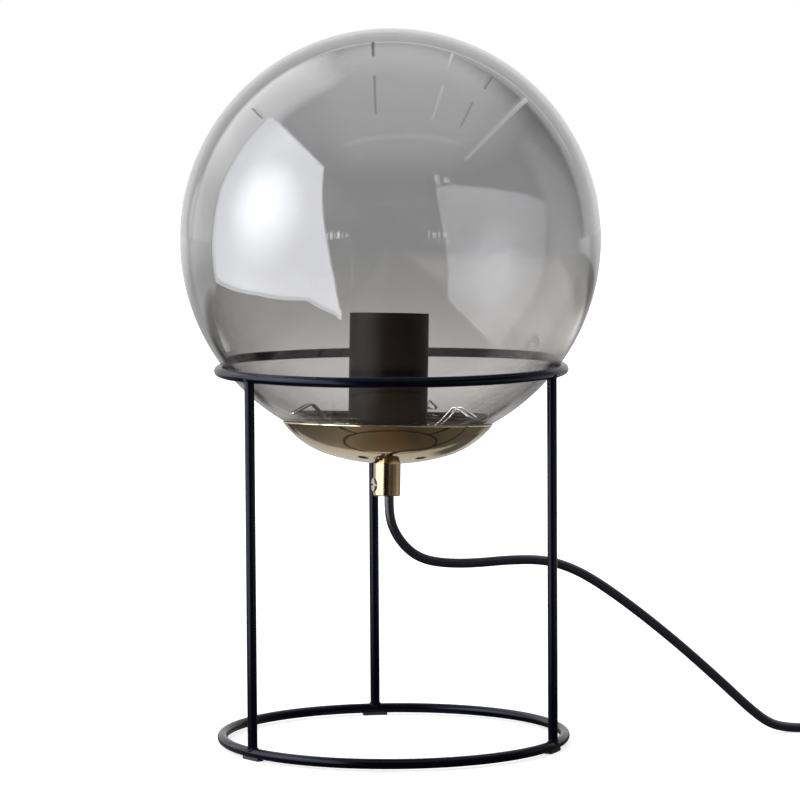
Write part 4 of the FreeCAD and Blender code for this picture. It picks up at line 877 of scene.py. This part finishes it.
def new_finish(name, colour, roughness, metallic=0.0, spread=0.06, group=grain, scale=900.0,
               bump=0.1, bump_depth=0.00004, dust_colour=(0.25, 0.25, 0.25, 1), dust_amount=0.05,
               **sockets):
    """A Principled material with its colour through touch_marks and its bump from a group."""
    material = bpy.data.materials.new(name)
    material.use_nodes = True
    tree = material.node_tree
    place = node(tree, "ShaderNodeTexCoord").outputs["Object"]
    touched = node(tree, "ShaderNodeGroup", node_tree=dust, Position=place,
                   Colour=(*colour, 1), Dust_Colour=dust_colour, Amount=dust_amount)
    surface = node(tree, "ShaderNodeGroup", node_tree=group, Position=place,
                   Roughness=roughness, Spread=spread)
    surface.inputs[1].default_value = scale
    relief = node(tree, "ShaderNodeBump", Strength=bump, Distance=bump_depth,
                  Height=surface.outputs["Height"])
    set_shader(material, Base_Color=touched.outputs["Colour"], Metallic=metallic,
               Roughness=surface.outputs["Roughness"], Normal=relief.outputs["Normal"],
               **sockets)
    return material


finishes = {
    "black_steel": new_finish(
        "black_powder_coat", (0.0009, 0.0009, 0.004), 0.22, spread=0.05, scale=1500.0,
        bump=0.3, bump_depth=0.00003, dust_colour=(0.03, 0.03, 0.04, 1), dust_amount=0.06,
        Specular_IOR_Level=0.12, Specular_Tint=(0.72, 0.75, 1.0, 1)),
    "black_rubber": new_finish(
        "matt_black_rubber", (0.012, 0.012, 0.012), 0.62, scale=1100.0, bump=0.4,
        dust_colour=(0.16, 0.155, 0.15, 1), dust_amount=0.35),
    "zinc_steel": new_finish(
        "zinc_plate", (0.52, 0.52, 0.5), 0.33, metallic=1.0, spread=0.12, scale=700.0,
        dust_colour=(0.2, 0.18, 0.16, 1), dust_amount=0.25),
    "spring_wire": new_finish(
        "drawn_wire", (0.72, 0.72, 0.73), 0.22, metallic=1.0, scale=1800.0, bump=0.15),
    "nickel_screw": new_finish(
        "nickel_plate", (0.68, 0.65, 0.6), 0.16, metallic=1.0, group=rings, scale=1400.0,
        bump=0.15, bump_depth=0.00002),
    "plug_nickel": new_finish(
        "pin_nickel", (0.7, 0.68, 0.62), 0.2, metallic=1.0, scale=1200.0, bump=0.12),
    "black_cover": new_finish(
        "matt_black_lacquer", (0.0026, 0.0021, 0.0019), 0.42, spread=0.08, scale=1300.0,
        bump=0.3, dust_colour=(0.05, 0.048, 0.045, 1), dust_amount=0.12,
        Specular_IOR_Level=0.13),
    "holder_insulator": new_finish(
        "black_phenolic", (0.018, 0.017, 0.016), 0.34, scale=800.0,
        dust_colour=(0.2, 0.19, 0.17, 1), dust_amount=0.15),
    "contact_brass": new_finish(
        "rolled_brass", (0.72, 0.53, 0.26), 0.26, metallic=1.0, spread=0.1),
    "cord_jacket": new_finish(
        "black_cord_jacket", (0.0045, 0.0048, 0.0115), 0.36, spread=0.05, scale=700.0,
        bump=0.3, dust_colour=(0.07, 0.075, 0.1, 1), dust_amount=0.15),
    "brown_core": new_finish("brown_core", (0.16, 0.06, 0.025), 0.35),
    "blue_core": new_finish("blue_core", (0.03, 0.12, 0.4), 0.35),
    "switch_plastic": new_finish(
        "black_switch_shell", (0.014, 0.014, 0.015), 0.4, scale=1600.0, bump=0.6,
        dust_colour=(0.14, 0.14, 0.14, 1), dust_amount=0.2),
    "plug_plastic": new_finish(
        "black_plug_moulding", (0.013, 0.013, 0.014), 0.42, scale=1100.0, bump=0.5,
        dust_colour=(0.14, 0.14, 0.14, 1), dust_amount=0.2)}
print("finishes:", len(finishes))

# %% [markdown]
# ## Polished brass
# The bowl is spun from brass sheet and polished. Under the lamp it mirrors the floor's dark tone,
# painted shade for the lamp's shadow and the dim studio, so it looks brown there, and its floor
# mirrors the bright paper behind. A base colour that is right for brass and a low roughness are
# enough. Buffing marks come from turning_rings, and the tone falls a little towards the rim. The
# inside is rougher, as the press left it dull, and its colour is darkened as painted shade.

# %% Brass with buffing marks
brass = new_finish("polished_brass", (0.8, 0.65, 0.42), 0.08, metallic=1.0, spread=0.04,
                   group=rings, scale=1700.0, bump_depth=0.00002,
                   dust_colour=(0.3, 0.24, 0.17, 1))
tree = brass.node_tree
rest_place = node(tree, "ShaderNodeTexCoord").outputs["Object"]
facing_out = vectors(tree, "DOT_PRODUCT", node(tree, "ShaderNodeNewGeometry").outputs["Normal"],
                     vectors(tree, "SUBTRACT", rest_place, GLOBE_CENTRE * MM))
# Painted shade: the inside of the bowl and the walls of its vents face the globe's centre, and
# there the colour is darkened to a dull brown.
inside = smooth_step(tree, facing_out, -0.06, -0.02, 1.0, 0.0)
to_rim = smooth_step(tree, axes_of(tree, rest_place)["Z"], 0.176, 0.189, 1.0, 0.68)
colour, roughness = (
    tree.nodes["Principled BSDF"].inputs[label].links[0].from_socket
    for label in ("Base Color", "Roughness"))
toned = mixed(tree, 1.0, colour, to_rim, way="MULTIPLY")
# The dark brown here is painted shade inside the bowl; the raised roughness is its dull pressed
# finish.
set_shader(brass, Base_Color=mixed(tree, inside, toned, (0.16, 0.13, 0.09, 1)),
           Roughness=maths(tree, "ADD", roughness, product(tree, inside, 0.3)))
finishes["polished_brass"] = brass
turned_brass = new_finish("turned_brass", (0.33, 0.235, 0.135), 0.13, metallic=1.0,
                          group=rings, scale=1300.0, bump=0.2, bump_depth=0.00002,
                          dust_colour=(0.3, 0.24, 0.17, 1), dust_amount=0.12)
print("brass nodes:", len(brass.node_tree.nodes))

# %% [markdown]
# ## Smoked glass
# The ball is grey all through, and the colour is paler towards the mouth. A thin sheet with a
# grey film would show no bright and dark edges. Here the mesh has both of its real surfaces,
# and the shader bends light at each. Every surface takes a little colour away. How much goes
# by height, and by how far the light runs through the wall at a slant.

# %% Glass that is paler at the mouth
glass = bpy.data.materials.new("smoked_glass")
glass.use_nodes = True
tree = glass.node_tree
GLASS_LOW, GLASS_HIGH = 0.19, 0.43
height = axes_of(tree, node(tree, "ShaderNodeTexCoord").outputs["Object"])["Z"]
share = maths(tree, "DIVIDE", maths(tree, "SUBTRACT", height, GLASS_LOW),
              GLASS_HIGH - GLASS_LOW, clamp=True)
tone = colour_steps(tree, share, [
    (0.0, (0.72, 0.71, 0.69)), (0.12, (0.73, 0.72, 0.705)), (0.24, (0.6, 0.592, 0.583)),
    (0.42, (0.522, 0.518, 0.517)), (0.66, (0.52, 0.518, 0.522)), (0.85, (0.56, 0.56, 0.563)),
    (1.0, (0.62, 0.62, 0.625))])
aslant = node(tree, "ShaderNodeLayerWeight", Blend=0.5).outputs["Facing"]
longer_way = smooth_step(tree, aslant, 0.25, 0.75, 1.0, 0.66)
set_shader(glass, Base_Color=mixed(tree, 1.0, tone, longer_way, way="MULTIPLY"),
           Transmission_Weight=1.0, Roughness=0.0, IOR=1.5)
finishes["smoked_glass"] = glass
print("glass from", GLASS_LOW, "to", GLASS_HIGH, "m")

# %% [markdown]
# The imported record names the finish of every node, so one loop can dress the whole CAD model.
# The slot is linked to the object and not to the mesh, because the CAD meshes must stay as
# they are. Smoked glass this thin throws hardly any shadow, so the ball throws none.

# %% Dress the CAD nodes and the cord
def dress(piece, slot):
    piece.data.materials.append(finishes[slot])
    return piece


slot_of = {part["node"]: part["material_slot"] for part in frame["record"]["subparts"]}
for name, cad in frame["nodes"].items():
    for slot in cad.material_slots:
        slot.link = "OBJECT"
        slot.material = turned_brass if name == "cord_grip" else finishes[slot_of[name]]
frame["nodes"]["glass_globe"].visible_shadow = False
for piece, slot in ((lead, "cord_jacket"), (flex, "cord_jacket"), (plug, "plug_plastic"),
                    (sleeves, "plug_plastic")):
    dress(piece, slot)
print("dressed:", len(slot_of))

# %% [markdown]
# ## Rim of the bowl
# The bowl's edge is rolled over, and that small roll catches the light as a pale line. A black
# rubber ring lies just inside it, under the glass. A bevel on the CAD mesh would change it, so
# the roll is a thin ring of its own, and the rubber is turned again with round edges.

# %% Rolled rim and rubber ring
BOWL_RIM_Z = -109.44


def round_section(radius, height, half_wide, half_high, corner, steps=5):
    """The outline of a bar with round corners, for turned()."""
    outline = []
    for quarter, (sx, sz) in enumerate(((1, -1), (1, 1), (-1, 1), (-1, -1))):
        middle_r = radius + sx * (half_wide - corner)
        middle_z = height + sz * (half_high - corner)
        for k in range(steps + 1):
            angle = math.radians(-90 + 90 * quarter + 90 * k / steps)
            outline.append((middle_r + corner * math.cos(angle),
                            middle_z + corner * math.sin(angle)))
    return outline


roll_section = round_section(radius=61.93, height=BOWL_RIM_Z + 0.22, half_wide=0.48,
                             half_high=0.5, corner=0.46)
roll = dress(turned("bowl_rim_roll", roll_section, "fitting", sides=180), "polished_brass")
rubber_section = round_section(radius=59.4, height=BOWL_RIM_Z + 0.4, half_wide=1.85,
                               half_high=0.4, corner=0.3)
dress(turned("rim_rubber", rubber_section, "fitting", ("rim_gasket",), sides=180),
      "black_rubber")
print("rim roll:", [round(v, 4) for v in roll.dimensions])

# %% [markdown]
# ## Weld beads
# Each rod leg is welded to both rings, and the powder coat runs over the bead. A ring laid on
# the joint would float, because the joint of two round rods is a saddle. The bead follows that
# saddle: its height comes from the ring's own circle at every step around the leg.

# %% Carry a circle round a closed line
def loop_mesh(line, radius_at, sides=10):
    """Points and faces of a tube along a closed list of points.

    radius_at gives the tube's radius from the share of the way round."""
    count = len(line)
    points = []
    middle = sum(line, Vector()) / count
    for k in range(count):
        along = (line[(k + 1) % count] - line[k - 1]).normalized()
        outward = line[k] - middle
        outward = (outward - along * outward.dot(along)).normalized()
        up = along.cross(outward)
        r = radius_at(k / count)
        points += [line[k] + (outward * c + up * s) * r for _, c, s in circle(sides)]
    return points, bands(count, sides, closed=True)


# %% Weld the legs to the rings
RING_RADIUS, RING_HALF, LEG_HALF = 102.5, 3.0, 2.9
LOW_RING_Z, HIGH_RING_Z = 4.2, 224.0
LEG_AZIMUTHS = {"back": 96.4, "front_left": 216.4, "front_right": 336.4}
BEAD_STEPS, BEAD_RADIUS, BEAD_UNEVEN, BEAD_LUMPS = 72, 0.62, 0.16, 3
BEAD_REACH, BEAD_RISE, SADDLE_REACH = LEG_HALF + 0.05, 0.1, 2.75
for leg, azimuth in LEG_AZIMUTHS.items():
    out = Vector((math.cos(math.radians(azimuth)), math.sin(math.radians(azimuth)), 0))
    side = Vector((-out.y, out.x, 0))
    for end, ring_z, toward in (("low", LOW_RING_Z, 1), ("high", HIGH_RING_Z, -1)):
        line = []
        for _, c, s in circle(BEAD_STEPS):
            across, beside = BEAD_REACH * c, BEAD_REACH * s
            rise = math.sqrt(RING_HALF**2 - min(abs(across), SADDLE_REACH)**2) + BEAD_RISE
            place = (out * (RING_RADIUS + across) + side * beside
                     + Vector((0, 0, ring_z + toward * rise)))
            line.append(place * MM)
        seed = Vector((azimuth, ring_z, 0))
        points, faces = loop_mesh(line, lambda share: MM * (
            BEAD_RADIUS + BEAD_UNEVEN * noise.noise(seed + BEAD_LUMPS * Vector((
                math.cos(2 * math.pi * share), math.sin(2 * math.pi * share), 0)))))
        bead = add_piece(f"weld_{leg}_{end}", points, faces, "stand")
        dress(bead, "black_steel")
print("welds:", 2 * len(LEG_AZIMUTHS))

# %% [markdown]
# ## Threads and nuts
# The tube that carries the lampholder is M10 by 1, and the holder's brass shell has a rolled
# lamp thread of 3.62 mm pitch. The CAD model leaves both plain, because a modelled thread
# costs a lot there. In a turned mesh a thread is nearly free: the radius only has to depend on
# the height and the angle together, and the ridge then climbs by itself.

# %% Threaded tube
def ridge(height, angle, pitch):
    """0 at the root of a thread and 1 at its crest."""
    share = (height / pitch - angle / (2 * math.pi)) % 1.0
    return 1.0 - abs(2 * share - 1)


TUBE_LOW, TUBE_HIGH, TUBE_BORE, TUBE_END, TUBE_CREST = -139.74, -105.64, 3.5, 4.4, 5.0
THREAD_PITCH, THREAD_DEEP, THREAD_STEP, TUBE_CHAMFER = 1.0, 0.5, 0.14, 0.4


def tube_thread(radius, angle, height):
    if radius < TUBE_CREST:
        return radius
    return radius - THREAD_DEEP * (1 - ridge(height, angle, THREAD_PITCH))


tube_steps = int((TUBE_HIGH - TUBE_LOW) / THREAD_STEP)
threaded = TUBE_HIGH - TUBE_LOW - 2 * TUBE_CHAMFER
tube_outline = ([(TUBE_BORE, TUBE_LOW), (TUBE_END, TUBE_LOW)]
                + [(TUBE_CREST, TUBE_LOW + TUBE_CHAMFER + threaded * k / tube_steps)
                   for k in range(tube_steps + 1)]
                + [(TUBE_END, TUBE_HIGH), (TUBE_BORE, TUBE_HIGH)])
tube = turned("threaded_tube_m10", tube_outline, "fitting", ("threaded_tube",), sides=48,
              wobble=tube_thread, crease=60)
dress(tube, "zinc_steel")
print("tube points:", len(tube.data.vertices))

# %% Rolled shell of the lampholder
SHELL_LOW, SHELL_TOP, SHELL_PITCH, SHELL_STEPS = -75.14, -49.14, 3.62, 110
SHELL_OUTSIDE, SHELL_INSIDE, WAVE_DEEP, WAVE_FADE = 13.68, 13.3, 0.8, 1.5


def rolled_thread(radius, angle, height):
    """The round wave of a lamp thread, which fades out at both ends of the shell."""
    to_end = min(SHELL_TOP - height, height - SHELL_LOW)
    wave = 0.5 - 0.5 * math.cos(2 * math.pi * height / SHELL_PITCH - angle)
    return radius - WAVE_DEEP * wave * min(1.0, to_end / WAVE_FADE)


heights = [SHELL_LOW + (SHELL_TOP - SHELL_LOW) * k / SHELL_STEPS for k in range(SHELL_STEPS + 1)]
shell_outline = ([(SHELL_OUTSIDE, z) for z in heights]
                 + [(SHELL_INSIDE, z) for z in reversed(heights)])
socket_shell = turned("rolled_shell", shell_outline, "fitting", ("screw_shell",), sides=96,
                      wobble=rolled_thread, crease=60)
dress(socket_shell, "contact_brass")
print("shell across:", round(socket_shell.dimensions.x * 1000, 1), "mm")

# %% Chamfered nuts
NUT_HALF, NUT_HIGH, NUT_CORNER, NUT_BORE, NUT_BORE_MOUTH = 7.0, 3.0, 8.1, 5.06, 5.5
CHAMFER_START, CHAMFER_SLOPE, BORE_CHAMFER = 6.75, 1.9, 0.5
LEVEL_SHARES = (0, 0.04, 0.09, 0.15, 0.22, 0.35, 0.65, 0.78, 0.85, 0.91, 0.96, 1)


def nut(name, low, high, node_name):
    """A hexagon nut whose corners are turned down to a cone on both faces."""
    def hexagon(radius, angle, height):
        if radius < NUT_CORNER:
            return radius
        corner = NUT_HALF / math.cos((angle + math.pi / 6) % (math.pi / 3) - math.pi / 6)
        inside = min(height - low, high - height)
        return min(corner, CHAMFER_START + CHAMFER_SLOPE * inside)
    outline = ([(NUT_BORE, low + BORE_CHAMFER), (NUT_BORE_MOUTH, low)]
               + [(NUT_CORNER, low + (high - low) * share) for share in LEVEL_SHARES]
               + [(NUT_BORE_MOUTH, high), (NUT_BORE, high - BORE_CHAMFER)])
    return dress(turned(name, outline, "fitting", (node_name,), sides=120, wobble=hexagon,
                        crease=24), "zinc_steel")


for name, low, node_name in (("nut_in_bowl", -131.014, "bowl_nut"),
                             ("nut_under_plate", -115.64, "lock_nut"),
                             ("nut_in_cover", -110.64, "holder_nut")):
    nut(name, low, low + NUT_HIGH, node_name)
print("nut across flats:", 2 * NUT_HALF, "mm")

# %% [markdown]
# ## Wires inside
# Inside the tube runs the cord's jacket, and above it the brown and the blue core go to the
# terminals. They are seen only through the open holder from above, but a wire with arc corners
# would look wrong even there, so they are splines too.

# %% Jacket and cores in the holder and the switch
WIRE_RADIUS, WIRE_BESIDE = 1.0, 1.3


def inner_wire(name, route, radius, slot, replaced):
    """A wire of the head along a smooth route."""
    points, faces = tube_mesh(smooth_line(name + "_route", route), radius * MM, sides=16)
    return dress(add_piece(name, points, faces, "fitting", replaced), slot)


inner_wire("jacket_in_tube", [on_head(*OFF_AXIS, -152.24), on_head(*OFF_AXIS, -149.39),
                              on_head(0, 0, -140.74), on_head(0, 0, -122.0),
                              on_head(0, 0, -104.14)],
           CORD_RADIUS, "cord_jacket", ("cord_inner",))
WIRE_START, WIRE_END, WIRE_REACH, WIRE_FACE = -104.14, -90.14, 5.4, 9.0
for sign, core, node_name in ((1, "brown_core", "wire_live"), (-1, "blue_core", "wire_neutral")):
    inner_wire("wire_" + core, [on_head(sign * WIRE_BESIDE, 0, WIRE_START),
                                on_head(sign * WIRE_BESIDE, 0, (WIRE_START + WIRE_END) / 2),
                                on_head(sign * WIRE_REACH, 0, WIRE_END),
                                on_head(sign * WIRE_FACE, 0, WIRE_END)],
               WIRE_RADIUS, core, (node_name,))
points, faces = [], []
for route in (((338, 27.3, 7.6), (333.65, 27.3, 7.6), (324.95, 27.3, 3.2), (320.6, 27.3, 3.2)),
              ((290, 27.3, 7.6), (294.35, 27.3, 7.6), (303.05, 27.3, 3.2), (307.4, 27.3, 3.2)),
              ((290, 24.7, 7.6), (294, 24.7, 7.6), (302, 22.4, 3.2), (326, 22.4, 3.2),
               (334, 24.7, 7.6), (338, 24.7, 7.6))):
    core_line = smooth_line("switch_core_route", [upright(*point) for point in route])
    more_points, more_faces = tube_mesh(core_line, WIRE_RADIUS * MM, sides=12)
    faces += [tuple(i + len(points) for i in face) for face in more_faces]
    points += more_points
cores = add_piece("cores_in_switch", points, faces, "stand", ("switch_cores",))
dress(cores, "brown_core")
print("inner wires made")
